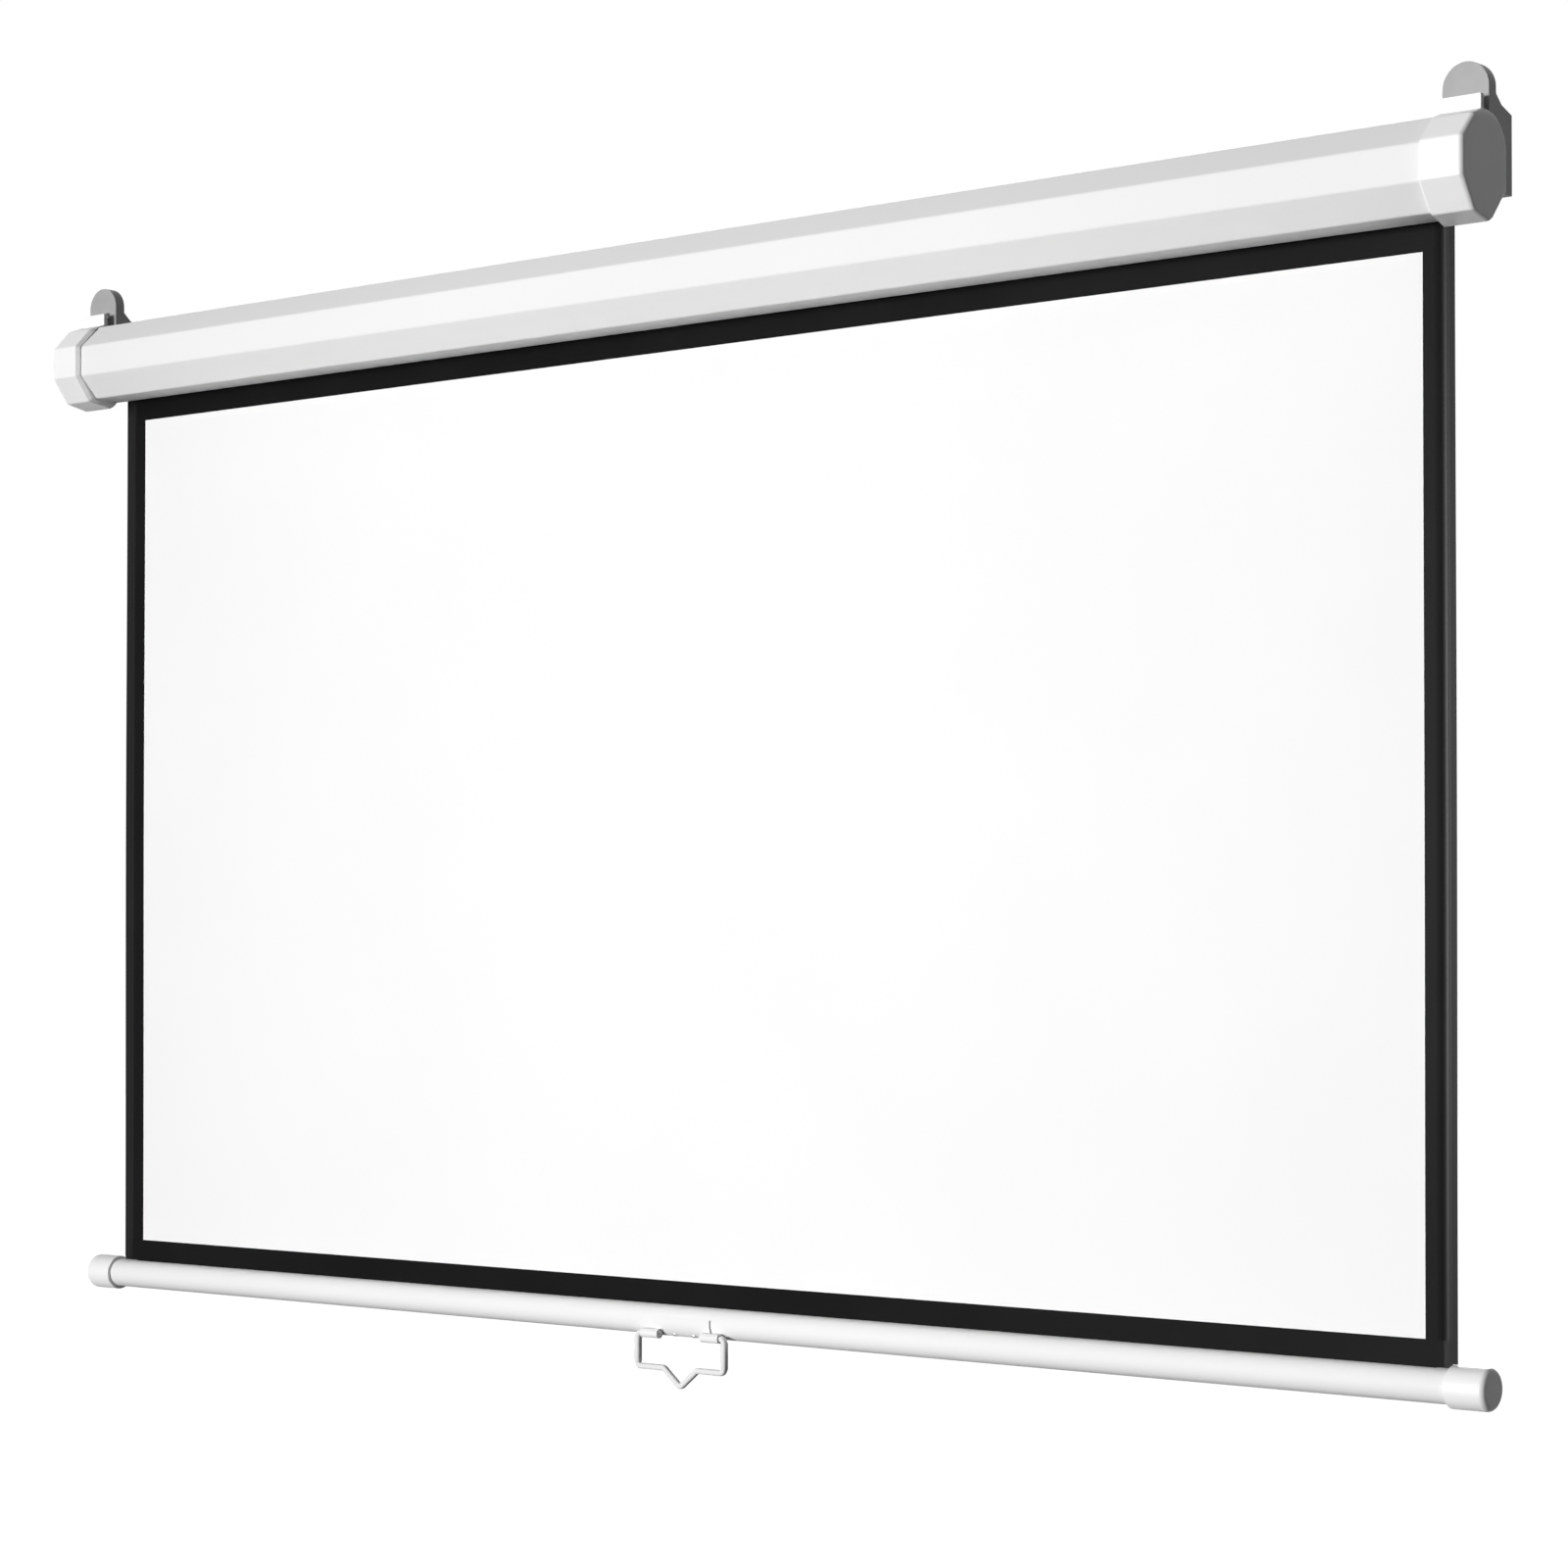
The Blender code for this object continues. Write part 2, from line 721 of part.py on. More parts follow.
def make_plugs():
    seat = roller_radius - roller_wall - gap
    key_top = roller_y - roller_radius + groove_depth + groove_wall + gap
    key_half = groove_width / 2 + groove_wall + 2 * gap
    key = helper("cut_keyway", box(-roller_half - gap / 2, roller_half + gap / 2,
                                   roller_y - roller_radius - 0.001, key_top, -key_half, key_half),
                 "roller_axis")
    bore = spindle_radius + running
    ratchet = [(flange_end, bore), (flange_end, roller_radius), (flange_start, roller_radius),
               (flange_start, seat), (roller_half - plug_seat_length, seat),
               (roller_half - plug_seat_length, plug_hub_radius),
               (roller_half - plug_hub_length, plug_hub_radius),
               (roller_half - plug_hub_length, bore)]
    ratchet_plug = add_keyed_plug("ratchet_plug", ratchet, -1, key)
    holes = [rod((-flange_end - 0.002, *place), (-flange_start - 0.0007, *place),
                 pawl_pin_radius + gap, 16) for place in pawl_pin_places()]
    combine(ratchet_plug, "DIFFERENCE", helper("cut_pin_holes", joined(*holes), "roller_axis"))

    pin_bore = idle_pin_radius + gap
    pin_end = roller_half - idle_pin_reach
    idle = [(pin_end - 0.005, 0), (pin_end - 0.005, idle_hub_radius),
            (roller_half - plug_seat_length, idle_hub_radius), (roller_half - plug_seat_length, seat),
            (flange_start, seat), (flange_start, roller_radius), (flange_end, roller_radius),
            (flange_end, pin_bore), (pin_end, pin_bore), (pin_end, 0)]
    add_keyed_plug("idle_plug", idle, 1, key)
    pin = rod((pin_end + gap, roller_y, 0), (block_end - 0.0024 - gap, roller_y, 0),
              idle_pin_radius, 32)
    add_piece("idle_pin", pin, zinc, "roller_axis")

    bearing = [(spindle_inner + 0.003, bore), (spindle_inner + 0.003, seat),
               (spindle_inner + 0.003 + bearing_thickness, seat),
               (spindle_inner + 0.003 + bearing_thickness, bore)]
    add_keyed_plug("spindle_bearing", bearing, -1, key)


def make_counter_spring():
    """Helix from the ratchet plug's hub to the anchor on the spindle's inner end."""
    outer_end = roller_half - plug_seat_length - spring_wire / 2 - gap
    inner_end = spring_inner_end()
    count = spring_turns * spring_points
    points = []
    for k in range(count + 1):
        angle = 2 * math.pi * k / spring_points
        x = outer_end + (inner_end - outer_end) * k / count
        points.append((-x, roller_y + spring_radius * math.cos(angle),
                       spring_radius * math.sin(angle)))
    add_wire("counter_spring", points, spring_wire / 2, spring_steel, "roller_axis", resolution=1)


def wrap_path():
    """Middle of the wound cloth, from the tangent point at the rear, inwards over the top."""
    count = int(wrap_turns * round_steps)
    path = []
    for k in range(count + 1):
        turned = k / round_steps
        radius = wrap_end - wrap_pitch * turned
        angle = 2 * math.pi * turned
        path.append((roller_y + radius * math.cos(angle), radius * math.sin(angle)))
    return path


def make_wound_cloth():
    add_piece("cloth_wrap", prism_x(centred_sheet(wrap_path(), cloth_thickness), -cloth_half,
                                    cloth_half), mask_black, "roller_axis")
    front = roller_y - roller_radius + gap
    spline = box(-cloth_half + spline_from_end, cloth_half - spline_from_end, front,
                 front + groove_depth - 2 * gap, -groove_width / 2 + gap, groove_width / 2 - gap)
    add_piece("cloth_spline", spline, brown_plastic, "roller_axis", smooth=False)


def pawl_pin_places():
    """(y, z) of the two pawls' pins, above and below the roller's axis."""
    return [(roller_y, pawl_pin_circle), (roller_y, -pawl_pin_circle)]


def pawl_outline():
    """A pawl with its tooth down in the notch, about the roller's axis, with its pin on +Y."""
    radial = Vector((math.cos(-pawl_tooth_angle), math.sin(-pawl_tooth_angle)))
    across = Vector((-radial.y, radial.x)) * pawl_tooth_half
    outline = [radial * pawl_outer - across, radial * pawl_tooth_depth - across,
               radial * pawl_tooth_depth + across, radial * pawl_inner + across]
    for degrees in (-45, -36, -27, -18):
        a = math.radians(degrees)
        outline.append(Vector((pawl_inner * math.cos(a), pawl_inner * math.sin(a))))
    pin = Vector((pawl_pin_circle, 0))
    for degrees in range(180, -91, -30):
        a = math.radians(degrees)
        outline.append(pin + Vector((math.cos(a), math.sin(a))) * pawl_head_radius)
    for degrees, radius in ((-24, 0.0122), (-36, pawl_outer), (-48, pawl_outer)):
        a = math.radians(degrees)
        outline.append(Vector((radius * math.cos(a), radius * math.sin(a))))
    return outline


def make_pawls():
    for name, place, turned in zip("ab", pawl_pin_places(), (90, 270)):
        bm = prism_x(pawl_outline(), -pawl_end, -pawl_start)
        to_pin = Matrix.Translation((0, *place))
        about_axis = Matrix.Rotation(math.radians(turned), 4, "X")
        lifted = Matrix.Rotation(pawl_swing, 4, "X")
        off_pin = Matrix.Translation((0, -pawl_pin_circle, 0))
        bmesh.ops.transform(bm, verts=bm.verts, matrix=to_pin @ about_axis @ lifted @ off_pin)
        pawl = add_piece(f"pawl_{name}", bm, zinc, f"pawl_{name}_pivot")
        hole = rod((-pawl_end - 0.001, *place), (-pawl_start + 0.001, *place),
                   pawl_pin_radius + running, 20)
        combine(pawl, "DIFFERENCE", helper(f"cut_pawl_{name}_hole", hole, f"pawl_{name}_pivot"))
        head = pawl_end + gap
        profile = [(flange_start + 0.001, 0), (flange_start + 0.001, pawl_pin_radius),
                   (head, pawl_pin_radius), (head, pawl_pin_radius + 0.0011),
                   (head + 0.001, pawl_pin_radius + 0.0008), (head + 0.001, 0)]
        pin = turned_x([(-x, r) for x, r in profile], *place, 20)
        add_piece(f"pawl_pin_{name}", pin, zinc, "roller_axis")


def make_screen_cloth():
    front = cloth_y - cloth_thickness / 2
    rear = cloth_y + cloth_thickness / 2
    half = view_width / 2
    add_piece("top_mask", box(-cloth_half, cloth_half, front, rear, view_top + gap, -gap),
              mask_black, smooth=False)
    add_piece("viewing_cloth", box(-half, half, front, rear, view_bottom, view_top),
              picture_white, smooth=False)
    for name, side in (("side_mask_left", -1), ("side_mask_right", 1)):
        hem = front + hem_thickness
        section = [(half + gap, front), (half + gap, rear), (cloth_half - hem_width, rear),
                   (cloth_half - hem_width, hem), (cloth_half, hem), (cloth_half, front)]
        rings = [[(side * x, y, z) for x, y in section] for z in (view_bottom, view_top)]
        bm = bmesh.new()
        low, high = [[bm.verts.new(p) for p in ring] for ring in rings]
        count = len(section)
        for i in range(count):
            k = (i + 1) % count
            bm.faces.new((low[i], low[k], high[k], high[i]))
        bm.faces.new(low)
        bm.faces.new(high)
        face_out(bm)
        add_piece(name, bm, mask_black, smooth=False)


def make_bottom_bar():
    slot = math.asin(bar_slot / 2 / bar_radius)
    start = math.radians(90) - slot
    ring = arc((0, 0), bar_radius, start, start - 2 * math.pi + 2 * slot, round_steps)
    bar = add_piece("bottom_bar", prism_x(sheet_outline(ring, bar_wall), bar_x - bar_half,
                                          bar_x + bar_half), white_steel, "bar_mover")
    combine(bar, "DIFFERENCE", helper("cut_bar_rivet_holes", rivet_bores(), "bar_mover"))

    plug = bar_radius - bar_wall - gap
    plug_end = bar_half - bar_plug_length
    profile = [(plug_end, 0), (plug_end, plug - 0.001), (plug_end + 0.001, plug),
               (bar_cap_start, plug),
               (bar_cap_start, bar_cap_radius - 0.0005), (bar_cap_start + 0.0005, bar_cap_radius)]
    for k in range(5):
        turn = math.radians(90) * k / 4
        profile.append((bar_cap_end - bar_cap_edge * (1 - math.sin(turn)),
                        bar_cap_radius - bar_cap_edge * (1 - math.cos(turn))))
    profile.append((bar_cap_end, 0))
    for name, side in (("bar_cap_left", -1), ("bar_cap_right", 1)):
        cap = turned_x([(bar_x + side * x, r) for x, r in profile], 0, 0, cap_steps)
        add_piece(name, cap, white_plastic, "bar_mover")


def make_bottom_hem():
    """Black strip below the picture, looped round the rod that the bar's slot holds."""
    end = bar_half - bar_plug_length - hem_from_plug - abs(bar_x)
    loop = hem_rod_radius + gap + cloth_thickness / 2
    path = [(0, mask_top), (0, hem_rod_z + loop + 0.0006)]
    path += arc((0, hem_rod_z), loop, math.radians(78), math.radians(-235), 22)
    mask = add_piece("bottom_mask", prism_x(centred_sheet(path, cloth_thickness), -cloth_half,
                                            cloth_half), mask_black, "bar_mover")
    notches = [box(*on_side(side, end, cloth_half + 0.001), -0.01, 0.01, -0.01,
                   bar_cap_radius + gap) for side in (-1, 1)]
    combine(mask, "DIFFERENCE", helper("cut_mask_corners", joined(*notches), "bar_mover"))
    rod_piece = rod((-end, 0, hem_rod_z), (end, 0, hem_rod_z), hem_rod_radius, 20)
    add_piece("hem_rod", rod_piece, zinc, "bar_mover")


def rivet_lines():
    """Start and outward direction of each rivet of the clip."""
    out = Vector((0, math.cos(rivet_angle), math.sin(rivet_angle)))
    for side in (-1, 1):
        yield Vector((handle_x + side * rivet_spacing / 2, 0, 0)), out


def rivet_bores():
    return joined(*[rod(centre + out * (bar_radius - 0.004), centre + out * (bar_radius + 0.004),
                        rivet_radius + gap, 16) for centre, out in rivet_lines()])


def make_clip():
    inner = bar_radius + gap
    low, high = clip_angles
    plate = arc((0, 0), inner + clip_thickness, low, high, 14) + arc((0, 0), inner, high, low, 14)
    clip = add_piece("handle_clip", prism_x(plate, handle_x - clip_half, handle_x + clip_half),
                     white_steel, "bar_mover")
    combine(clip, "DIFFERENCE", helper("cut_clip_rivet_holes", rivet_bores(), "bar_mover"))
    bore = wire_radius + running
    for name, side in (("left", -1), ("right", 1)):
        knuckle = rod((handle_x + side * knuckle_inner, pivot_y, pivot_z),
                      (handle_x + side * knuckle_outer, pivot_y, pivot_z), bore + knuckle_wall)
        combine(clip, "UNION", helper(f"clip_knuckle_{name}", knuckle, "bar_mover"))
        eye = rod((handle_x + side * (knuckle_inner - 0.001), pivot_y, pivot_z),
                  (handle_x + side * (knuckle_outer + 0.001), pivot_y, pivot_z), bore)
        combine(clip, "DIFFERENCE", helper(f"cut_clip_eye_{name}", eye, "bar_mover"))

    for name, (place, out) in zip(("left", "right"), rivet_lines()):
        head = inner + clip_thickness + gap
        profile = [(head - rivet_length, 0), (head - rivet_length, rivet_radius),
                   (head, rivet_radius), (head, rivet_head), (head + 0.0008, rivet_head * 0.8),
                   (head + 0.0012, 0)]
        bm = turned_x(profile, 0, 0, 16)
        turn = Vector((1, 0, 0)).rotation_difference(out).to_matrix().to_4x4()
        bmesh.ops.transform(bm, verts=bm.verts, matrix=Matrix.Translation(place) @ turn)
        add_piece(f"clip_rivet_{name}", bm, zinc, "bar_mover")


def bail_path():
    """Wire handle from one inturned end to the other, with the pull cord's V in the middle."""
    leg = leg_spacing / 2
    low = pivot_z - handle_drop
    half = [(knuckle_inner + 0.010, pivot_z), (leg, pivot_z), (leg, low), (vee_half, low),
            (0, low - vee_depth)]
    both = [(-x, z) for x, z in half] + [(x, z) for x, z in half[-2::-1]]
    return rounded([(handle_x + x, pivot_y, z) for x, z in both], wire_bend, steps=4)


def make_handle():
    add_wire("handle_bail", bail_path(), wire_radius, white_steel, "handle_pivot", resolution=2)


clear_scene()
add_pivot("bar_mover", bar_centre, (0, 0, 0))
add_pivot("handle_pivot", bar_centre, (0, pivot_y, pivot_z), "bar_mover")
add_pivot("roller_axis", (0, 0, 0), (0, roller_y, 0))
for letter, place in zip("ab", pawl_pin_places()):
    add_pivot(f"pawl_{letter}_pivot", (0, 0, 0), (-pawl_start, *place), "roller_axis")

make_case()
make_end_cap("left_end_cap", -1, round_pocket=False)
make_end_cap("right_end_cap", 1, round_pocket=True)
make_bracket("left_wall_bracket", -1)
make_bracket("right_wall_bracket", 1)
make_cap_screws()
make_end_supports()
make_spindle()
make_roller_tube()
make_plugs()
make_counter_spring()
make_wound_cloth()
make_pawls()
make_screen_cloth()
make_bottom_bar()
make_bottom_hem()
make_clip()
make_handle()
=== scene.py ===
import json
import math

import bpy
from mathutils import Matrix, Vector

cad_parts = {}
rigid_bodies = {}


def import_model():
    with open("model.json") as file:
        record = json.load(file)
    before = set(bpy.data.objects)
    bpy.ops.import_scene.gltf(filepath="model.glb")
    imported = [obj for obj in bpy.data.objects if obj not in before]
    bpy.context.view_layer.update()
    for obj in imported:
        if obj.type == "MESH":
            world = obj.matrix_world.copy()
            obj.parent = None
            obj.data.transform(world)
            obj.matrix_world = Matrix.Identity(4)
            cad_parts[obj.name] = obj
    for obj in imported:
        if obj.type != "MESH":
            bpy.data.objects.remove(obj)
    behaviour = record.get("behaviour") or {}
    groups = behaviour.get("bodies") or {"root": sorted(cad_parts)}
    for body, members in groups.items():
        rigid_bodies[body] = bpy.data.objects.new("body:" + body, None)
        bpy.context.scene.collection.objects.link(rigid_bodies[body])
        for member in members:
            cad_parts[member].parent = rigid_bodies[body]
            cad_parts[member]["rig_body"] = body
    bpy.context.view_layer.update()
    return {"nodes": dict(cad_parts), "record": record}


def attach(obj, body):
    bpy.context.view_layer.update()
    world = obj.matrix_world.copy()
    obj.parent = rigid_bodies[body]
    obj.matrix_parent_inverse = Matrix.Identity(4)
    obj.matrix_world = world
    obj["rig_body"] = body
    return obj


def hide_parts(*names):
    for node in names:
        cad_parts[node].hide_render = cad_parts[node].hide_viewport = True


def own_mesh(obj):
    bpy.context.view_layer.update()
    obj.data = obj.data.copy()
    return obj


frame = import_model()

nodes = frame["nodes"]
slotOf = {row["node"]: row["material_slot"] for row in frame["record"]["subparts"]}
print("frame loaded:", len(nodes), "nodes")


# the camera stands to the right, a little below the picture's middle

cameraPlace = {
    "location": (2.37316, -2.75198, -0.62777),
    "pitch": 0.0162,
    "turn": 0.6915,
    "lens": 86.59,
    "sensor": 36,
    "rise": 0.0586,
}


def placeCamera():
    bpy.ops.object.camera_add(
        location=cameraPlace["location"],
        rotation=(math.pi / 2 + cameraPlace["pitch"], 0, cameraPlace["turn"]),
    )
    camera = bpy.context.object
    camera.data.lens = cameraPlace["lens"]
    camera.data.sensor_width = cameraPlace["sensor"]
    camera.data.shift_y = cameraPlace["rise"]
    camera.data.dof.use_dof = False
    bpy.context.scene.camera = camera


# shader maths as plain expressions

class Wire:
    # one socket of a node; what is written with it becomes Math nodes
    def __init__(self, finish, socket):
        self.finish = finish
        self.socket = socket

    def __add__(self, other):
        return self.finish.maths("ADD", self, other)

    def __rsub__(self, other):
        return self.finish.maths("SUBTRACT", other, self)

    def __mul__(self, other):
        return self.finish.maths("MULTIPLY", self, other)

    def __abs__(self):
        return self.finish.maths("ABSOLUTE", self)

    __radd__ = __add__


class Finish:
    # a material, its shader and what is wired into it
    def __init__(self, name, **plain):
        self.material = bpy.data.materials.new(name)
        self.material.use_nodes = True
        self.tree = self.material.node_tree
        self.shader = self.tree.nodes["Principled BSDF"]
        for socket, value in plain.items():
            self.set(socket, value)

    def set(self, socket, value):
        words = {
            "colour": "Base Color",
            "roughness": "Roughness",
            "metallic": "Metallic",
            "specular": "Specular IOR Level",
            "coat": "Coat Weight",
            "coatRoughness": "Coat Roughness",
            "normal": "Normal",
        }
        target = self.shader.inputs[words[socket]]
        if isinstance(value, Wire):
            self.tree.links.new(value.socket, target)
        else:
            target.default_value = value

    def node(self, kind, settings=None, sockets=None, output=0):
        made = self.tree.nodes.new("ShaderNode" + kind)
        for key, value in (settings or {}).items():
            setattr(made, key, value)
        for key, value in (sockets or {}).items():
            if isinstance(value, Wire):
                self.tree.links.new(value.socket, made.inputs[key])
            else:
                made.inputs[key].default_value = value
        return Wire(self, made.outputs[output])

    def maths(self, operation, *values):
        return self.node("Math", {"operation": operation}, dict(enumerate(values)))

    def between(self, value, low, high, toLow=0.0, toHigh=1.0):
        ends = {0: value, 1: low, 2: high, 3: toLow, 4: toHigh}
        return self.node("MapRange", {"interpolation_type": "SMOOTHSTEP"}, ends)

    def band(self, value, start, end, soft):
        rise = self.between(value, start - soft, start + soft)
        return rise * (1 - self.between(value, end - soft, end + soft))

    def mix(self, share, first, second):
        pair = {0: share}
        for key, colour in ((6, first), (7, second)):
            pair[key] = colour if isinstance(colour, Wire) else (*colour, 1)
        return self.node("Mix", {"data_type": "RGBA"}, pair, output=2)

    def place(self):
        return self.node("TexCoord", output=3)

    def noise(self, place, scale, detail=2.0, rough=0.5):
        sockets = {"Vector": place, "Scale": scale, "Detail": detail, "Roughness": rough}
        return self.node("TexNoise", None, sockets)

    def stretched(self, place, factors):
        return self.node("Mapping", None, {"Vector": place, "Scale": factors})

    def bump(self, height, distance, strength=1.0, under=None):
        sockets = {"Height": height, "Distance": distance, "Strength": strength}
        if under:
            sockets["Normal"] = under
        return self.node("Bump", None, sockets)

    def edge(self):
        return self.node("Attribute", {"attribute_name": "wornEdge"}, output=2)


# finishes; a scale is a noise scale, a depth is in metres, a range is where a tone sets in

powderCoat = {
    "colour": (0.88, 0.88, 0.878),
    "shade": (0.86, 0.86, 0.858),
    "thinEdge": (0.68, 0.68, 0.675),
    "specular": 0.15,
    "roughness": 0.55,
    "cloudScale": 2.5,
    "cloudRange": (0.35, 0.7),
    "peelScale": 420,
    "peelDepth": 0.00006,
    "grainScale": 2600,
    "grainDepth": 0.00002,
    "rubScale": 180,
    "rubRange": (0.56, 0.66),
    "rubShare": 0.55,
    "wireLevel": 0.90,
}


def powderFinish(name, level):
    # the level takes both tones down together
    coat = powderCoat
    finish = Finish(name, specular=coat["specular"])
    place = finish.place()
    cloud = finish.noise(place, coat["cloudScale"], 3)
    peel = finish.noise(place, coat["peelScale"], 2)
    grain = finish.noise(place, coat["grainScale"], 1)
    pair = [tuple(level * tone for tone in coat[key]) for key in ("colour", "shade")]
    colour = finish.mix(finish.between(cloud, *coat["cloudRange"]), *pair)
    specks = finish.noise(place, coat["rubScale"], 4, 0.65)
    rubbed = finish.edge() * finish.between(specks, *coat["rubRange"])
    finish.set("colour", finish.mix(rubbed * coat["rubShare"], colour, coat["thinEdge"]))
    finish.set("roughness", coat["roughness"] + peel * 0.10 + rubbed * 0.10)
    skin = finish.bump(peel, coat["peelDepth"], 0.5)
    finish.set("normal", finish.bump(grain, coat["grainDepth"], 0.5, skin))
    return finish.material


mouldedWhite = {
    "colour": (0.94, 0.94, 0.938),
    "shade": (0.922, 0.922, 0.919),
    "handled": (0.80, 0.80, 0.79),
    "specular": 0.5,
    "roughness": 0.36,
    "flowScale": 14,
    "flowStretch": (1, 3, 3),
    "flowRange": (0.3, 0.75),
    "grainScale": 1900,
    "grainDepth": 0.00003,
    "handledScale": 240,
    "handledRange": (0.5, 0.68),
    "handledShare": 0.35,
}


def mouldedFinish():
    white = mouldedWhite
    finish = Finish("mouldedWhitePlastic", specular=white["specular"])
    place = finish.place()
    flow = finish.noise(finish.stretched(place, white["flowStretch"]), white["flowScale"], 3)
    grain = finish.noise(place, white["grainScale"], 2, 0.6)
    specks = finish.noise(place, white["handledScale"], 3)
    handled = finish.edge() * finish.between(specks, *white["handledRange"])
    colour = finish.mix(finish.between(flow, *white["flowRange"]), white["colour"], white["shade"])
    finish.set("colour", finish.mix(handled * white["handledShare"], colour, white["handled"]))
    finish.set("roughness", white["roughness"] + grain * 0.10 + handled * 0.08)
    finish.set("normal", finish.bump(grain, white["grainDepth"], 0.55))
    return finish.material


bracketGrey = {
    "colour": (0.375, 0.375, 0.38),
    "shade": (0.33, 0.33, 0.335),
    "thin": (0.50, 0.50, 0.50),
    "specular": 0.45,
    "roughness": 0.44,
    "flowScale": 26,
    "flowRange": (0.3, 0.7),
    "grainScale": 1500,
    "grainDepth": 0.00004,
    "scuffScale": 120,
    "scuffStretch": (1, 1, 9),
    "scuffRange": (0.5, 0.62),
    "scuffShare": 0.5,
}


def bracketFinish():
    grey = bracketGrey
    finish = Finish("bracketGreyPlastic", specular=grey["specular"])
    place = finish.place()
    flow = finish.noise(place, grey["flowScale"], 4)
    grain = finish.noise(place, grey["grainScale"], 2, 0.6)
    scuff = finish.noise(finish.stretched(place, grey["scuffStretch"]), grey["scuffScale"], 4, 0.7)
    colour = finish.mix(finish.between(flow, *grey["flowRange"]), grey["colour"], grey["shade"])
    worn = finish.edge() * finish.between(scuff, *grey["scuffRange"])
    finish.set("colour", finish.mix(worn * grey["scuffShare"], colour, grey["thin"]))
    finish.set("roughness", grey["roughness"] + grain * 0.12)
    finish.set("normal", finish.bump(grain, grey["grainDepth"], 0.6))
    return finish.material


weavePattern = {"pitch": 0.0011, "roundness": 0.5, "crossing": 0.12}


def weave(finish, spread):
    # over and under of a plain weave, in the cloth's own metres
    ways = [finish.node("SeparateXYZ", None, {0: spread}, output=k) for k in (0, 1)]
    waves = [finish.maths("SINE", way * (math.pi / weavePattern["pitch"])) for way in ways]
    crossing = waves[0] * waves[1]
    threads = [finish.maths("POWER", abs(wave), weavePattern["roundness"]) for wave in waves]
    over = finish.between(crossing, -weavePattern["crossing"], weavePattern["crossing"])
    return over * threads[0] + (1 - over) * threads[1]


pictureSurface = {
    "colour": (0.93, 0.93, 0.928),
    "shade": (0.915, 0.916, 0.915),
    # painted shade: the hollows between the threads get this darker tone
    "weaveHollowShade": (0.84, 0.84, 0.84),
    "weaveHollowShadeShare": 0.05,
    "threadDepth": 0.00004,
    "specular": 0.25,
    "roughness": 0.86,
    "cloudScale": 3.2,
    "cloudRange": (0.35, 0.7),
    "fleckScale": 1400,
    "fleckDepth": 0.00002,
}


def pictureFinish():
    white = pictureSurface
    finish = Finish("pictureWhiteCoating", specular=white["specular"])
    spread = finish.node("UVMap", {"uv_map": "clothLay"})
    cloud = finish.noise(spread, white["cloudScale"], 3)
    fleck = finish.noise(spread, white["fleckScale"], 2, 0.7)
    colour = finish.mix(finish.between(cloud, *white["cloudRange"]), white["colour"], white["shade"])
    threads = weave(finish, spread)
    # painted shade darkens the weave's hollows, where the threads lie low
    finish.set("colour", finish.mix((1 - threads) * white["weaveHollowShadeShare"], colour, white["weaveHollowShade"]))
    finish.set("roughness", white["roughness"] + fleck * 0.10)
    grain = finish.bump(fleck, white["fleckDepth"], 0.5)
    finish.set("normal", finish.bump(threads, white["threadDepth"], 0.35, grain))
    return finish.material


maskCloth = {
    "front": [(0.0042, 0.0042, 0.0044), (0.0066, 0.0066, 0.0069)],
    "back": [(0.016, 0.016, 0.017), (0.023, 0.023, 0.024)],
    # lighter than the front: a painted sheen on the folded hem
    "hem": (0.0125, 0.0125, 0.0130),
    # painted shade: the hollows between the threads get this darker tone
    "weaveHollowShade": (0.004, 0.004, 0.004),
    "weaveHollowShadeShare": 0.35,
    "threadDepth": 0.00006,
    "specular": 0.030,
    "roughness": 0.33,
    "coatRoughness": 0.30,
    "cloudScale": 7,
    "cloudRange": (0.3, 0.72),
    "fleckScale": 900,
    "fleckRange": (0.35, 0.65, 0.75, 1.0),
    "fleckDepth": 0.00003,
    "weldStart": 0.8145,
    "weldEnd": 0.8195,
    "weldSoft": 0.0007,
    "weldShine": 0.13,
    "foldSoft": 0.0004,
    "hemShine": 0.05,
}


def maskFinish(name, side):
    black = maskCloth
    finish = Finish(name, specular=black["specular"], coatRoughness=black["coatRoughness"])
    spread = finish.node("UVMap", {"uv_map": "clothLay"})
    cloud = finish.noise(spread, black["cloudScale"], 4)
    fleck = finish.noise(spread, black["fleckScale"], 3, 0.7)
    threads = weave(finish, spread)
    colour = finish.mix(finish.between(cloud, *black["cloudRange"]), *black[side])
    if side == "front":
        # the folded hem shines a little, and its pressed weld more; the hem also gets a lighter black,
        # a painted sheen
        across = abs(finish.node("SeparateXYZ", None, {0: spread}))
        foldRange = (black["weldEnd"] - black["foldSoft"], black["weldEnd"] + black["foldSoft"])
        fold = finish.between(across, *foldRange)
        colour = finish.mix(fold, colour, black["hem"])
        pressed = finish.band(across, black["weldStart"], black["weldEnd"], black["weldSoft"])
        dots = finish.between(fleck, *black["fleckRange"])
        finish.set("coat", fold * black["hemShine"] + pressed * dots * black["weldShine"])
    # painted shade darkens the weave's hollows, where the threads lie low
    finish.set("colour", finish.mix((1 - threads) * black["weaveHollowShadeShare"], colour, black["weaveHollowShade"]))
    finish.set("roughness", black["roughness"] + fleck * 0.08)
    grain = finish.bump(fleck, black["fleckDepth"], 0.4)
    finish.set("normal", finish.bump(threads, black["threadDepth"], 0.25, grain))
    return finish.material


zincPlate = {
    "colour": (0.62, 0.625, 0.64),
    "shade": (0.50, 0.505, 0.52),
    "roughness": 0.30,
    "spangleScale": 380,
    "spangleRange": (0.4, 1.1),
    "spangleDepth": 0.00001,
    "hazeScale": 60,
    "hazeShare": 0.6,
}


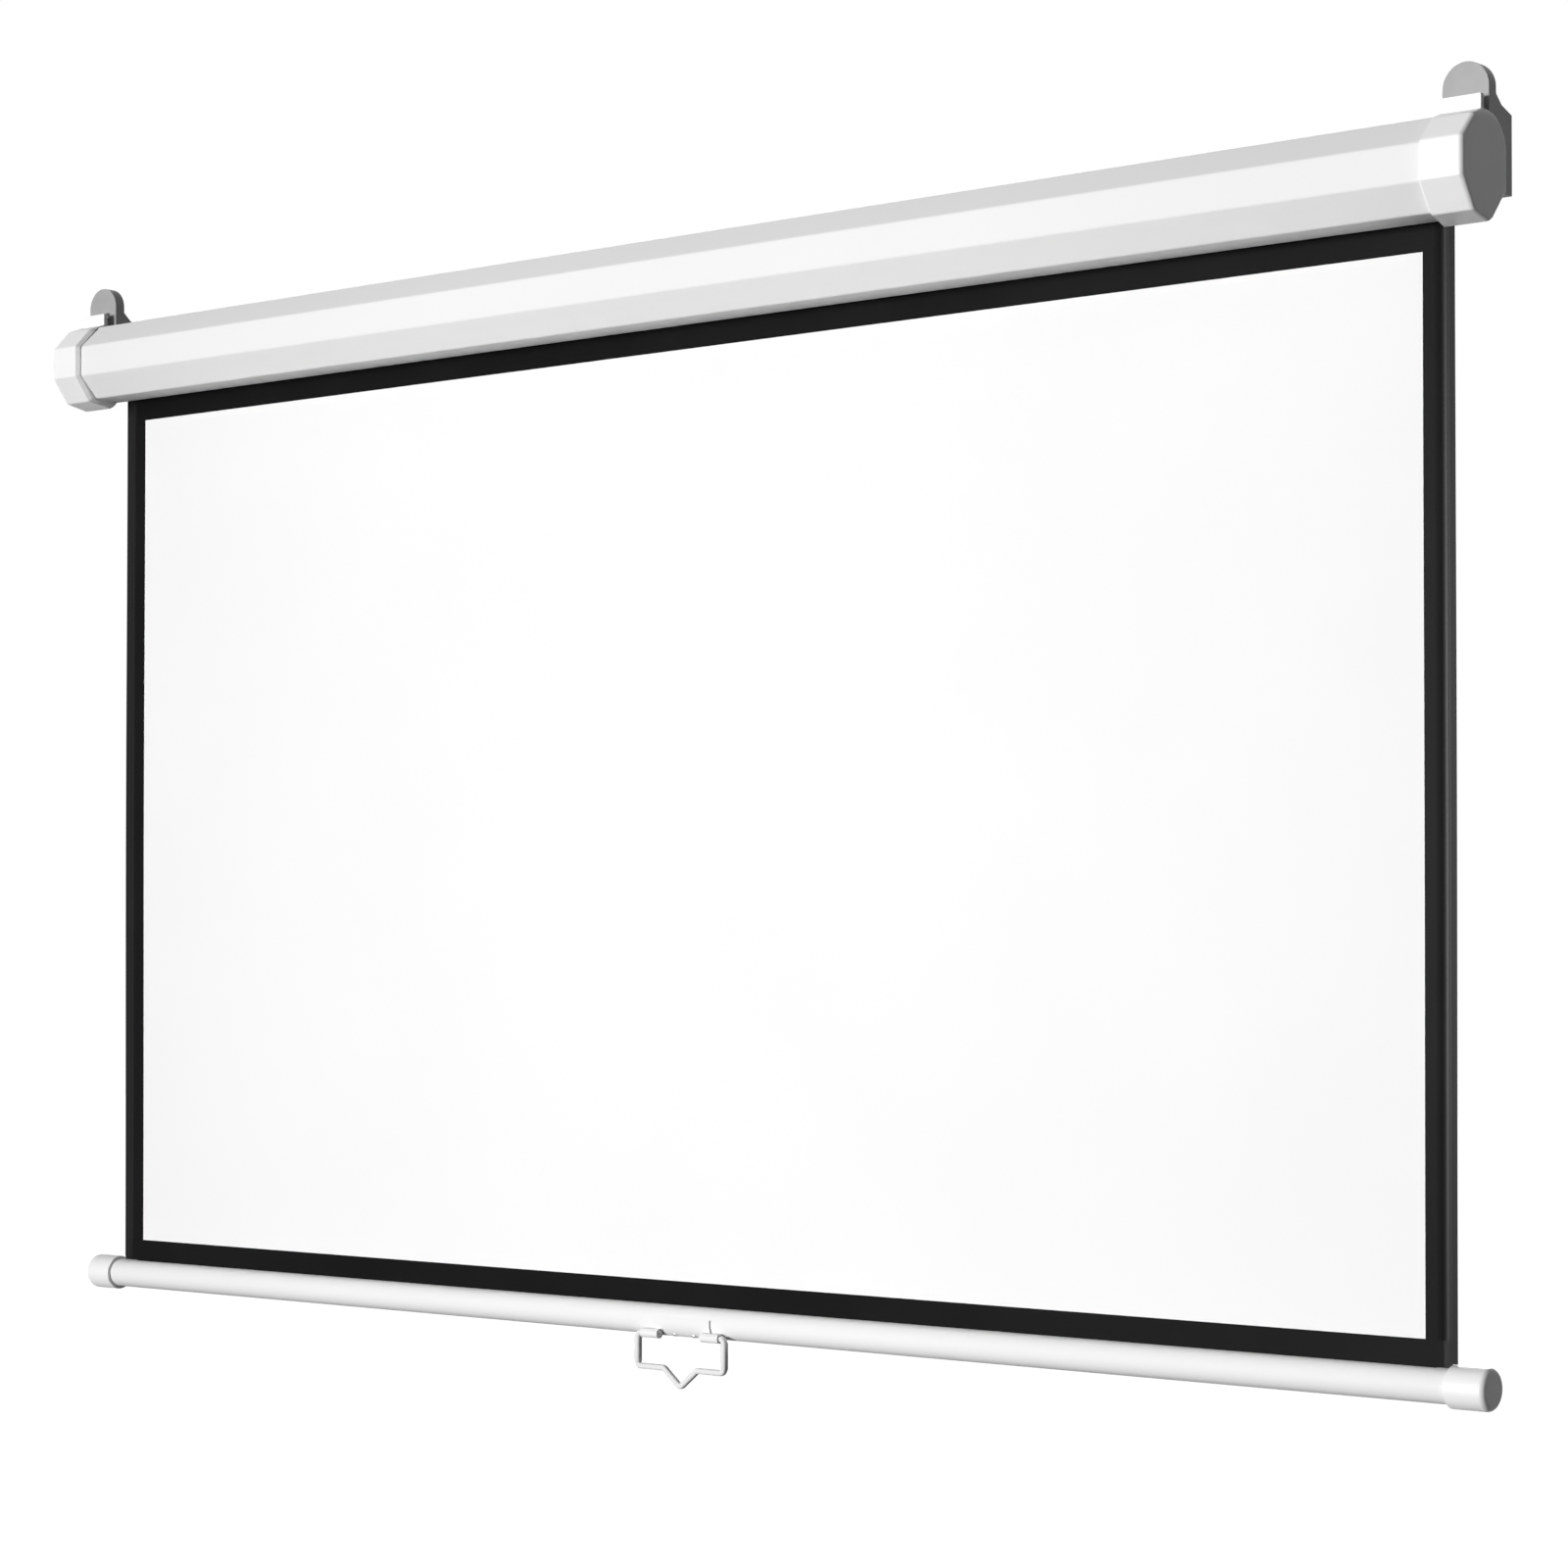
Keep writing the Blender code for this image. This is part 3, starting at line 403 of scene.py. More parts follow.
def zincFinish():
    zinc = zincPlate
    finish = Finish("zincPlate", metallic=1.0)
    place = finish.place()
    spangle = finish.node("TexVoronoi", None, {"Vector": place, "Scale": zinc["spangleScale"]})
    haze = finish.noise(place, zinc["hazeScale"], 4)
    blend = finish.between(spangle + haze * zinc["hazeShare"], *zinc["spangleRange"])
    finish.set("colour", finish.mix(blend, zinc["colour"], zinc["shade"]))
    finish.set("roughness", zinc["roughness"] + haze * 0.22)
    finish.set("normal", finish.bump(spangle, zinc["spangleDepth"], 0.4))
    return finish.material


oiledWire = {
    "colour": (0.34, 0.34, 0.35),
    "oil": (0.20, 0.185, 0.17),
    "roughness": 0.26,
    "filmScale": 90,
    "filmRange": (0.35, 0.7),
    "drawnScale": 700,
    "drawnStretch": (1, 6, 6),
    "drawnDepth": 0.00001,
}


def springFinish():
    finish = Finish("oiledSpringWire", metallic=1.0)
    place = finish.place()
    film = finish.noise(place, oiledWire["filmScale"], 4, 0.6)
    drawn = finish.noise(finish.stretched(place, oiledWire["drawnStretch"]), oiledWire["drawnScale"], 2)
    blend = finish.between(film, *oiledWire["filmRange"])
    finish.set("colour", finish.mix(blend, oiledWire["colour"], oiledWire["oil"]))
    finish.set("roughness", oiledWire["roughness"] + drawn * 0.2)
    finish.set("normal", finish.bump(drawn, oiledWire["drawnDepth"], 0.5))
    return finish.material


nylon = {
    "colour": (0.58, 0.575, 0.555),
    "shade": (0.51, 0.505, 0.49),
    "specular": 0.5,
    "roughness": 0.42,
    "flowScale": 45,
    "flowRange": (0.3, 0.7),
    "grainScale": 2200,
    "grainDepth": 0.00002,
}


def nylonFinish():
    finish = Finish("unpaintedNylon", specular=nylon["specular"])
    place = finish.place()
    flow = finish.noise(place, nylon["flowScale"], 4)
    grain = finish.noise(place, nylon["grainScale"], 2)
    blend = finish.between(flow, *nylon["flowRange"])
    finish.set("colour", finish.mix(blend, nylon["colour"], nylon["shade"]))
    finish.set("roughness", nylon["roughness"] + grain * 0.12)
    finish.set("normal", finish.bump(grain, nylon["grainDepth"], 0.5))
    return finish.material


finishes = {
    "white_steel": powderFinish("powderCoatWhite", 1.0),
    "white_plastic": mouldedFinish(),
    "grey_bracket": bracketFinish(),
    "picture_white": pictureFinish(),
    "mask_black": maskFinish("maskBlackCloth", "front"),
    "zinc": zincFinish(),
    "spring_steel": springFinish(),
    "plain_plastic": nylonFinish(),
}
wireCoat = powderFinish("powderCoatWire", powderCoat["wireLevel"])
clothBacking = maskFinish("clothBlackBacking", "back")

for name, node in nodes.items():
    for holder in node.material_slots:
        holder.link = "OBJECT"
        holder.material = finishes[slotOf[name]]
print("finishes made:", len(bpy.data.materials))


# tools for shaping

def onlyPick(piece):
    bpy.ops.object.select_all(action="DESELECT")
    piece.select_set(True)
    bpy.context.view_layer.objects.active = piece


def pick(piece, kind, test):
    # leaves the piece in edit mode with the faces or edges that pass the test selected
    onlyPick(piece)
    bpy.ops.object.mode_set(mode="EDIT")
    bpy.ops.mesh.select_mode(type=kind)
    bpy.ops.mesh.select_all(action="DESELECT")
    bpy.ops.object.mode_set(mode="OBJECT")
    mesh = piece.data
    if kind == "FACE":
        for face in mesh.polygons:
            face.select = test(face.center)
    else:
        for edge in mesh.edges:
            edge.select = all(test(mesh.vertices[k].co) for k in edge.vertices)
    bpy.ops.object.mode_set(mode="EDIT")


def pickAll(piece):
    onlyPick(piece)
    bpy.ops.object.mode_set(mode="EDIT")
    bpy.ops.mesh.select_all(action="SELECT")


def drawOut(piece, test, moves):
    # pulls an edge of a sheet on through the moves, one row of faces for each
    pick(piece, "EDGE", test)
    for move in moves:
        bpy.ops.mesh.extrude_region_move(TRANSFORM_OT_translate={"value": tuple(move)})
    bpy.ops.object.mode_set(mode="OBJECT")


def applyAll(piece):
    onlyPick(piece)
    for modifier in list(piece.modifiers):
        bpy.ops.object.modifier_apply(modifier=modifier.name)


def settle(piece):
    # the place goes into the mesh, as in the frame
    onlyPick(piece)
    bpy.ops.object.transform_apply(location=True, rotation=True, scale=True)


def smooth(piece, degrees):
    onlyPick(piece)
    bpy.ops.object.shade_smooth_by_angle(angle=math.radians(degrees))


def finishPiece(piece, slot, body, *replaced, material=None):
    piece.data.materials.clear()
    piece.data.materials.append(material or finishes[slot])
    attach(piece, body)
    if replaced:
        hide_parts(*replaced)


# the cloth, laid out as one sheet and then parted along the printed edges

cloth = {
    "y": -0.020,
    "thickness": 0.0004,
    "pictureHalf": 0.797,
    "pictureTop": -0.0615,
    "pictureBottom": -0.9585,
    "half": 0.827,
    "columns": 64,
    "rows": 36,
    "topRows": 3,
    "smoothAngle": 40,
    "slide": 0.925,          # the bar's whole travel
}
# places are measured out from the screen's middle
hem = {
    "width": 0.012,
    "tongueHalf": 0.807,
    "weldEnd": 0.8195,
    "weldFoot": 0.8201,
    "weldDepth": 0.00018,
    "beforeBarCap": 0.8222,
    "support": 0.0006,
    "foldInset": 0.00035,
    "foldLead": 0.0001,
    "foldRadius": 0.00021,
    "foldSteps": 4,
    "backBend": 0.8200,
    "backEnd": 0.8148,
}
# a wave is how fast it runs across and down, and where it starts
hang = {
    "depth": 0.0006,
    "fade": 1.2,
    "middleShare": 0.35,
    "longWave": (9.3, 2.1, 0.8),
    "shortWave": (21, -6, 0),
    "shortShare": 0.5,
}
near = 0.00002               # how close a point has to be to count as there


def hemMoves(side):
    # from the picture's edge out to the fold, round it and back behind
    start = cloth["half"] - hem["width"]
    outer = cloth["half"] - hem["foldInset"]
    support = hem["support"]
    out = [cloth["pictureHalf"], hem["tongueHalf"], start - support, start, hem["weldEnd"],
           hem["weldFoot"], hem["beforeBarCap"], outer - support, outer - hem["foldLead"]]
    back = [out[-1], outer - support, hem["backBend"], hem["backEnd"]]
    moves = [(side * (b - a), 0, 0) for a, b in zip(out, out[1:])]
    turn, steps = hem["foldRadius"], hem["foldSteps"]
    for k in range(steps):
        a, b = math.pi * k / steps, math.pi * (k + 1) / steps
        moves.append((side * turn * (math.sin(b) - math.sin(a)), turn * (math.cos(a) - math.cos(b)), 0))
    return moves + [(side * (b - a), 0, 0) for a, b in zip(back, back[1:])]


def uprightSheet(name, halfWidth, top, bottom, columns, rows):
    bpy.ops.object.select_all(action="DESELECT")
    bpy.ops.mesh.primitive_grid_add(x_subdivisions=columns, y_subdivisions=rows, size=1,
                                    location=(0, cloth["y"], (top + bottom) / 2),
                                    rotation=(math.pi / 2, 0, 0))
    made = bpy.context.object
    made.name = name
    made.scale = (2 * halfWidth, top - bottom, 1)
    settle(made)
    return made


def layCloth():
    whole = uprightSheet("pictureCloth", cloth["pictureHalf"], cloth["pictureTop"],
                         cloth["pictureBottom"], cloth["columns"], cloth["rows"])
    for side in (-1, 1):
        drawOut(whole, lambda p: abs(p.x - side * cloth["pictureHalf"]) < near, hemMoves(side))
    # the weld presses the folded hem to the front layer and leaves a low ridge
    weldStart = cloth["half"] - hem["width"]
    for vertex in whole.data.vertices:
        inWeld = weldStart - near < abs(vertex.co.x) < hem["weldEnd"] + near
        if inWeld and vertex.co.y < cloth["y"] + near:
            vertex.co.y -= hem["weldDepth"]
    rise = (0, 0, -cloth["pictureTop"] / cloth["topRows"])
    drawOut(whole, lambda p: p.z > cloth["pictureTop"] - near, [rise] * cloth["topRows"])
    return whole


def ripple(x, z, across, down, start):
    return math.sin(across * x + down * z + start)


def hangWaves(sheet):
    # the slight hang of an untensioned screen, flat again at the roller and at the bar
    top, bottom = cloth["pictureTop"], cloth["pictureBottom"]
    for vertex in sheet.data.vertices:
        x, _, z = vertex.co
        down = min(max((top - z) / (top - bottom), 0), 1)
        free = math.sin(math.pi * down) ** hang["fade"] if 0 < down < 1 else 0
        edge = hang["middleShare"] + (1 - hang["middleShare"]) * (abs(x) / cloth["half"]) ** 2
        wave = ripple(x, z, *hang["longWave"]) + hang["shortShare"] * ripple(x, z, *hang["shortWave"])
        vertex.co.y += hang["depth"] * free * edge * wave


def layFlat(sheet):
    # the sheet's own metres, across and along, before it hangs
    lay = sheet.data.uv_layers.get("clothLay") or sheet.data.uv_layers.new(name="clothLay")
    for loop in sheet.data.loops:
        point = sheet.data.vertices[loop.vertex_index].co
        lay.data[loop.index].uv = (point.x, point.z)


def part(sheet, name, test):
    pick(sheet, "FACE", test)
    bpy.ops.mesh.separate(type="SELECTED")
    bpy.ops.object.mode_set(mode="OBJECT")
    cut = [piece for piece in bpy.context.selected_objects if piece is not sheet][0]
    cut.name = name
    return cut


def thicken(sheet):
    thick = sheet.modifiers.new("thickness", "SOLIDIFY")
    thick.thickness = cloth["thickness"]
    thick.offset = 0
    thick.use_even_offset = True
    applyAll(sheet)
    smooth(sheet, cloth["smoothAngle"])


pictureCloth = layCloth()
hangWaves(pictureCloth)
layFlat(pictureCloth)
maskTop = part(pictureCloth, "topMask", lambda c: c.z > cloth["pictureTop"])
maskLeft = part(pictureCloth, "sideMaskLeft", lambda c: c.x < -cloth["pictureHalf"])
maskRight = part(pictureCloth, "sideMaskRight", lambda c: c.x > cloth["pictureHalf"])
slidingSheets = (pictureCloth, maskTop, maskLeft, maskRight)
for sheet in slidingSheets:
    thicken(sheet)
print("cloth laid and parted")

finishPiece(pictureCloth, "picture_white", "case", "viewing_cloth")
pictureCloth.data.materials.append(clothBacking)
for face in pictureCloth.data.polygons:
    face.material_index = 1 if face.normal.y > 0.5 else 0
finishPiece(maskTop, "mask_black", "case", "top_mask")
finishPiece(maskLeft, "mask_black", "case", "side_mask_left")
finishPiece(maskRight, "mask_black", "case", "side_mask_right")

for sheet in slidingSheets:
    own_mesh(sheet)


# the black strip below the picture, looped round the rod in the bar

hemLoop = {
    "corner": -0.9777,
    "barTop": -0.9811,
    "lowTo": {-1: 0.8264, 1: hem["beforeBarCap"]},    # on the right the bar's cap comes sooner
    "rod": (-0.020, -0.98625),
    "loop": 0.0035,
    "lead": 0.0006,
    "start": math.radians(78),
    "end": math.radians(-235),
    "steps": 30,
    "rows": 2,
    "flatBorder": 0.0273,
}


def loopMoves():
    y, z = hemLoop["rod"]
    spots = [(cloth["y"], hemLoop["corner"]), (cloth["y"], z + hemLoop["loop"] + hemLoop["lead"])]
    for k in range(hemLoop["steps"] + 1):
        a = hemLoop["start"] + (hemLoop["end"] - hemLoop["start"]) * k / hemLoop["steps"]
        spots.append((y + hemLoop["loop"] * math.cos(a), z + hemLoop["loop"] * math.sin(a)))
    return [(0, b[0] - a[0], b[1] - a[1]) for a, b in zip(spots, spots[1:])]


def makeBottomMask():
    mask = uprightSheet("bottomMask", cloth["pictureHalf"], cloth["pictureBottom"],
                        hemLoop["corner"], cloth["columns"], hemLoop["rows"])
    for side in (-1, 1):
        drawOut(mask, lambda p: abs(p.x - side * cloth["pictureHalf"]) < near, hemMoves(side))
    drawOut(mask, lambda p: p.z < hemLoop["corner"] + near and abs(p.x) < hem["tongueHalf"] + near,
            loopMoves())
    # beside the tongue, the front layer runs down to the bar's top
    for side in (-1, 1):
        drawOut(mask, lambda p: abs(p.z - hemLoop["corner"]) < near and p.y < cloth["y"] + near
                and hem["tongueHalf"] - near < side * p.x < hemLoop["lowTo"][side] + near,
                [(0, 0, hemLoop["barTop"] - hemLoop["corner"])])
    return mask


bottomMask = makeBottomMask()
layFlat(bottomMask)
thicken(bottomMask)
finishPiece(bottomMask, "mask_black", "bar", "bottom_mask")
print("bottom strip looped")


# the turns left on the roller

wound = {"axisY": -0.04055, "outer": 0.02055, "turns": 1.5, "pitch": 0.0007, "steps": 48}


def makeWoundCloth():
    count = int(wound["turns"] * wound["steps"])
    spots = []
    for k in range(count + 1):
        turned = k / wound["steps"]
        radius = wound["outer"] - wound["pitch"] * turned
        angle = 2 * math.pi * turned
        spots.append((wound["axisY"] + radius * math.cos(angle), radius * math.sin(angle)))
    rise = spots[1][1]
    coil = uprightSheet("woundCloth", cloth["half"], rise, 0, cloth["columns"], 1)
    for vertex in coil.data.vertices:
        if vertex.co.z > rise / 2:
            vertex.co.y = spots[1][0]
    drawOut(coil, lambda p: p.z > rise - near,
            [(0, b[0] - a[0], b[1] - a[1]) for a, b in zip(spots[1:], spots[2:])])
    return coil, sum(math.dist(a, b) for a, b in zip(spots, spots[1:]))


woundCloth, woundLength = makeWoundCloth()
layFlat(woundCloth)
thicken(woundCloth)
finishPiece(woundCloth, "mask_black", "roller", "cloth_wrap", material=clothBacking)
print("turns wound on the roller:", round(woundLength, 4), "m")


# rigid pieces with the rounded edges of the real ones: name, width of the round, least angle rounded

edgeRounds = {
    "case_shell": ("housing", 0.0003, 35),
    "left_end_cap": ("endCapLeft", 0.0005, 33),
    "right_end_cap": ("endCapRight", 0.0005, 33),
    "left_wall_bracket": ("wallBracketLeft", 0.0006, 33),
    "right_wall_bracket": ("wallBracketRight", 0.0006, 33),
    "bottom_bar": ("weightedBar", 0.0003, 35),
    "bar_cap_left": ("barCapLeft", 0.0003, 33),
    "bar_cap_right": ("barCapRight", 0.0003, 33),
    "handle_clip": ("handleClip", 0.0003, 35),
}
rimSlope = {
    "rim": 0.8305,
    "corner": 0.8311,
    "middleY": -0.046,
    "frontTo": -0.052,
    "depth": 0.003,
    "length": 0.0026,
}
cleaning = {
    "weld": 0.000002,
    "capWeld": 0.00016,
    "flatAngle": 0.4,
    "sliver": 0.000003,
}
roundSteps = 2


def slopeRim(piece):
    # an end cap's rim runs down to the housing in a slope in front, as its shading shows
    mesh = piece.data
    rim, corner = set(), set()
    for edge in mesh.edges:
        pair = sorted(edge.vertices, key=lambda k: abs(mesh.vertices[k].co.x))
        inner, outer = (abs(mesh.vertices[k].co.x) for k in pair)
        if abs(inner - rimSlope["rim"]) < near * 2 and abs(outer - rimSlope["corner"]) < near * 2:
            rim.add(pair[0])
            corner.add(pair[1])
    for k in rim | corner:
        spot = mesh.vertices[k].co
        if spot.y > rimSlope["frontTo"]:
            continue
        if k in rim:
            inward = Vector((0, rimSlope["middleY"] - spot.y, -spot.z)).normalized()
            mesh.vertices[k].co = spot + inward * rimSlope["depth"]
        else:
            spot.x += math.copysign(rimSlope["length"], spot.x)


def roundEdges(piece, width, angle):
    # the new faces get the second material, which then marks where a finish may wear
    bevel = piece.modifiers.new("edges", "BEVEL")
    bevel.width = width
    bevel.segments = roundSteps
    bevel.limit_method = "ANGLE"
    bevel.angle_limit = math.radians(angle)
    bevel.material = 1
    bevel.miter_outer = "MITER_ARC"
    bevel.loop_slide = False
    applyAll(piece)


def sinkInto(piece, out, outline, depth, narrow):
    # a hollow in the top of a head, narrower at its floor
    out = Vector(out).normalized()
    tall = max(vertex.co.dot(out) for vertex in piece.data.vertices)
    top = [vertex.co for vertex in piece.data.vertices if vertex.co.dot(out) > tall - near]
    centre = sum(top, Vector()) / len(top)
    across = Vector((1, 0, 0))
    up = out.cross(across)
    spots = []
    for rise, share in ((depth, 2 - narrow), (-depth, narrow)):
        spots += [centre + out * rise + (across * a + up * b) * share for a, b in outline]
    count = len(outline)
    ends = [tuple(range(count)), tuple(range(count, 2 * count))]
    sides = [(k, (k + 1) % count, count + (k + 1) % count, count + k) for k in range(count)]
    mesh = bpy.data.meshes.new("headCutter")
    mesh.from_pydata(spots, [], ends + sides)
    cutter = bpy.data.objects.new("headCutter", mesh)
    bpy.context.scene.collection.objects.link(cutter)
    pickAll(cutter)
    bpy.ops.mesh.normals_make_consistent(inside=False)
    bpy.ops.object.mode_set(mode="OBJECT")
    hollow = piece.modifiers.new("hollow", "BOOLEAN")
    hollow.operation = "DIFFERENCE"
    hollow.solver = "EXACT"
    hollow.object = cutter
    applyAll(piece)
    bpy.data.objects.remove(cutter)


def roundedCopy(node, name, width, angle, hollow=None):
    source = nodes[node]
    isEndCap = name.startswith("endCap")
    piece = bpy.data.objects.new(name, source.data.copy())
    bpy.context.scene.collection.objects.link(piece)
    pickAll(piece)
    bpy.ops.mesh.remove_doubles(threshold=cleaning["capWeld" if isEndCap else "weld"])
    bpy.ops.mesh.customdata_custom_splitnormals_clear()
    bpy.ops.mesh.mark_sharp(clear=True)
    bpy.ops.mesh.dissolve_limited(angle_limit=math.radians(cleaning["flatAngle"]))
    bpy.ops.object.mode_set(mode="OBJECT")
    if isEndCap:
        slopeRim(piece)
    piece.data.materials.clear()
    for _ in range(2):
        piece.data.materials.append(finishes[slotOf[node]])
    for face in piece.data.polygons:
        face.material_index = 0
    roundEdges(piece, width, angle)
    if hollow:
        sinkInto(piece, **hollow)
    pickAll(piece)
    bpy.ops.mesh.dissolve_degenerate(threshold=cleaning["sliver"])
    bpy.ops.object.mode_set(mode="OBJECT")
    worn = piece.data.attributes.new("wornEdge", "FLOAT", "FACE")
    for face in piece.data.polygons:
        worn.data[face.index].value = face.material_index
        face.material_index = 0
    smooth(piece, angle)
    evenOut = piece.modifiers.new("normals", "WEIGHTED_NORMAL")
    evenOut.keep_sharp = True
    applyAll(piece)
    finishPiece(piece, slotOf[node], source["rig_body"], node)


for node, (name, width, angle) in edgeRounds.items():
    roundedCopy(node, name, width, angle)
print("edges rounded on", len(edgeRounds), "pieces")


# screw heads with the cross they are driven by, rivet heads with the hollow of the pulled pin

def crossOutline(half, arm):
    quarter, outline = [(arm, half), (-arm, half), (-arm, arm)], []
    for _ in range(4):
        outline += quarter
        quarter = [(-b, a) for a, b in quarter]
    return outline


def roundOutline(radius, count):
    angles = [2 * math.pi * k / count for k in range(count)]
    return [(radius * math.cos(angle), radius * math.sin(angle)) for angle in angles]


heads = {
    "edge": 0.00012,
    "angle": 33,
    "screw": {"out": (0, 1, 0), "outline": crossOutline(half=0.0016, arm=0.00042),
              "depth": 0.0009, "narrow": 0.5},
    "rivet": {"out": (0, -0.6561, -0.7547), "outline": roundOutline(radius=0.0009, count=16),
              "depth": 0.0010, "narrow": 0.9},
}
for side in ("left", "right"):
    for height in ("lower", "upper"):
        roundedCopy(f"cap_screw_{side}_{height}", f"capScrew{side.title()}{height.title()}",
                    heads["edge"], heads["angle"], heads["screw"])
    roundedCopy(f"clip_rivet_{side}", f"clipRivet{side.title()}",
                heads["edge"], heads["angle"], heads["rivet"])
print("screw and rivet heads shaped")


# the wire handle, bent from one length

# leg, inner and veeHalf are measured out from the handle's middle
wire = {
    "middle": -0.0025,
    "y": -0.036787,
    "pivot": -1.008197,
    "radius": 0.00275,
    "leg": 0.0545,
    "inner": 0.0265,
    "drop": 0.0321,
    "veeHalf": 0.021,
    "veeDepth": 0.0172,
    "bend": 0.004,
    "bendSteps": 8,
    "corner": 0.0019,
    "cornerPoints": 4,
    "pinShare": 0.92,
    "legShare": 1.18,
    "smoothAngle": 35,
}


def bendCorners(corners, radius, steps):
    path = [corners[0]]
    for before, corner, after in zip(corners, corners[1:], corners[2:]):
        back, on = (before - corner).normalized(), (after - corner).normalized()
        half = back.angle(on) / 2
        reach = radius / math.tan(half)
        centre = corner + (back + on).normalized() * (radius / math.sin(half))
        first, last = corner + back * reach - centre, corner + on * reach - centre
        for k in range(steps + 1):
            path.append(centre + first.slerp(last, k / steps).normalized() * radius)
    return path + [corners[-1]]


def squareSection():
    # the rod is a little square, with well rounded edges
    flat = wire["radius"] - wire["corner"]
    rim = []
    for quarter in range(4):
        middle = math.pi / 2 * quarter + math.pi / 4
        for k in range(wire["cornerPoints"]):
            angle = math.pi / 2 * (quarter + k / (wire["cornerPoints"] - 1))
            rim.append((math.copysign(flat, math.cos(middle)) + wire["corner"] * math.cos(angle),
                        math.copysign(flat, math.sin(middle)) + wire["corner"] * math.sin(angle)))
    shape = bpy.data.curves.new("wireSection", "CURVE")
    shape.dimensions = "2D"
    ring = shape.splines.new("POLY")
    ring.points.add(len(rim) - 1)
    for point, spot in zip(ring.points, rim):
        point.co = (*spot, 0, 1)
    ring.use_cyclic_u = True
    section = bpy.data.objects.new("wireSection", shape)
    bpy.context.scene.collection.objects.link(section)
    return section


def wirePath():
    low = wire["pivot"] - wire["drop"]
    half = [(wire["inner"], wire["pivot"]), (wire["leg"], wire["pivot"]), (wire["leg"], low),
            (wire["veeHalf"], low), (0, low - wire["veeDepth"])]
    both = [(-x, z) for x, z in half] + half[-2::-1]
    corners = [Vector((wire["middle"] + x, wire["y"], z)) for x, z in both]
    return bendCorners(corners, wire["bend"], wire["bendSteps"])


def makeHandle():
    path = wirePath()
    section = squareSection()
    pinEnd = wire["leg"] - wire["bend"]
    curve = bpy.data.curves.new("wireHandle", "CURVE")
    curve.dimensions = "3D"
    curve.twist_mode = "MINIMUM"
    curve.bevel_mode = "OBJECT"
    curve.bevel_object = section
    curve.use_fill_caps = True
    spline = curve.splines.new("POLY")
    spline.points.add(len(path) - 1)
    for point, spot in zip(spline.points, path):
        point.co = (*spot, 1)
        outside = abs(spot.x - wire["middle"])
        if spot.z > wire["pivot"] - near and outside < pinEnd + near:
            point.radius = wire["pinShare"]
        elif outside > wire["leg"] - near:
            point.radius = wire["legShare"]
    handle = bpy.data.objects.new("wireHandle", curve)
    bpy.context.scene.collection.objects.link(handle)
    onlyPick(handle)
    bpy.ops.object.convert(target="MESH")
    handle = bpy.context.object
    bpy.data.objects.remove(section)
    pickAll(handle)
    bpy.ops.mesh.remove_doubles(threshold=cleaning["weld"])
    bpy.ops.mesh.normals_make_consistent(inside=False)
    bpy.ops.object.mode_set(mode="OBJECT")
    smooth(handle, wire["smoothAngle"])
    return handle


wireHandle = makeHandle()
finishPiece(wireHandle, "white_steel", "handle", "handle_bail", material=wireCoat)
print("handle bent")


# floor, light and background

room = {
    "floorHeight": -2.4,
    "floorSize": 60,
    "floorTint": (0.14, 0.14, 0.14),
    "floorRoughness": 0.9,
    "floorGlow": 0.97,
    "ambient": 0.07,
}
lamps = {
    "softKey": {"from": (-3.5, -11.6, -0.1), "to": (0.3, -0.05, -0.5),
                "size": 3.0, "spread": 36, "power": 72},
    "ceilingBounce": {"from": (0, -2.6, 3.2), "to": (0, -0.05, -0.3),
                      "size": 2.6, "spread": 40, "power": 1},
    "rearFill": {"from": (-2.5, 6.0, 1.5), "to": (0, 0, -0.5),
                 "size": 2.0, "spread": 40, "power": 12},
}


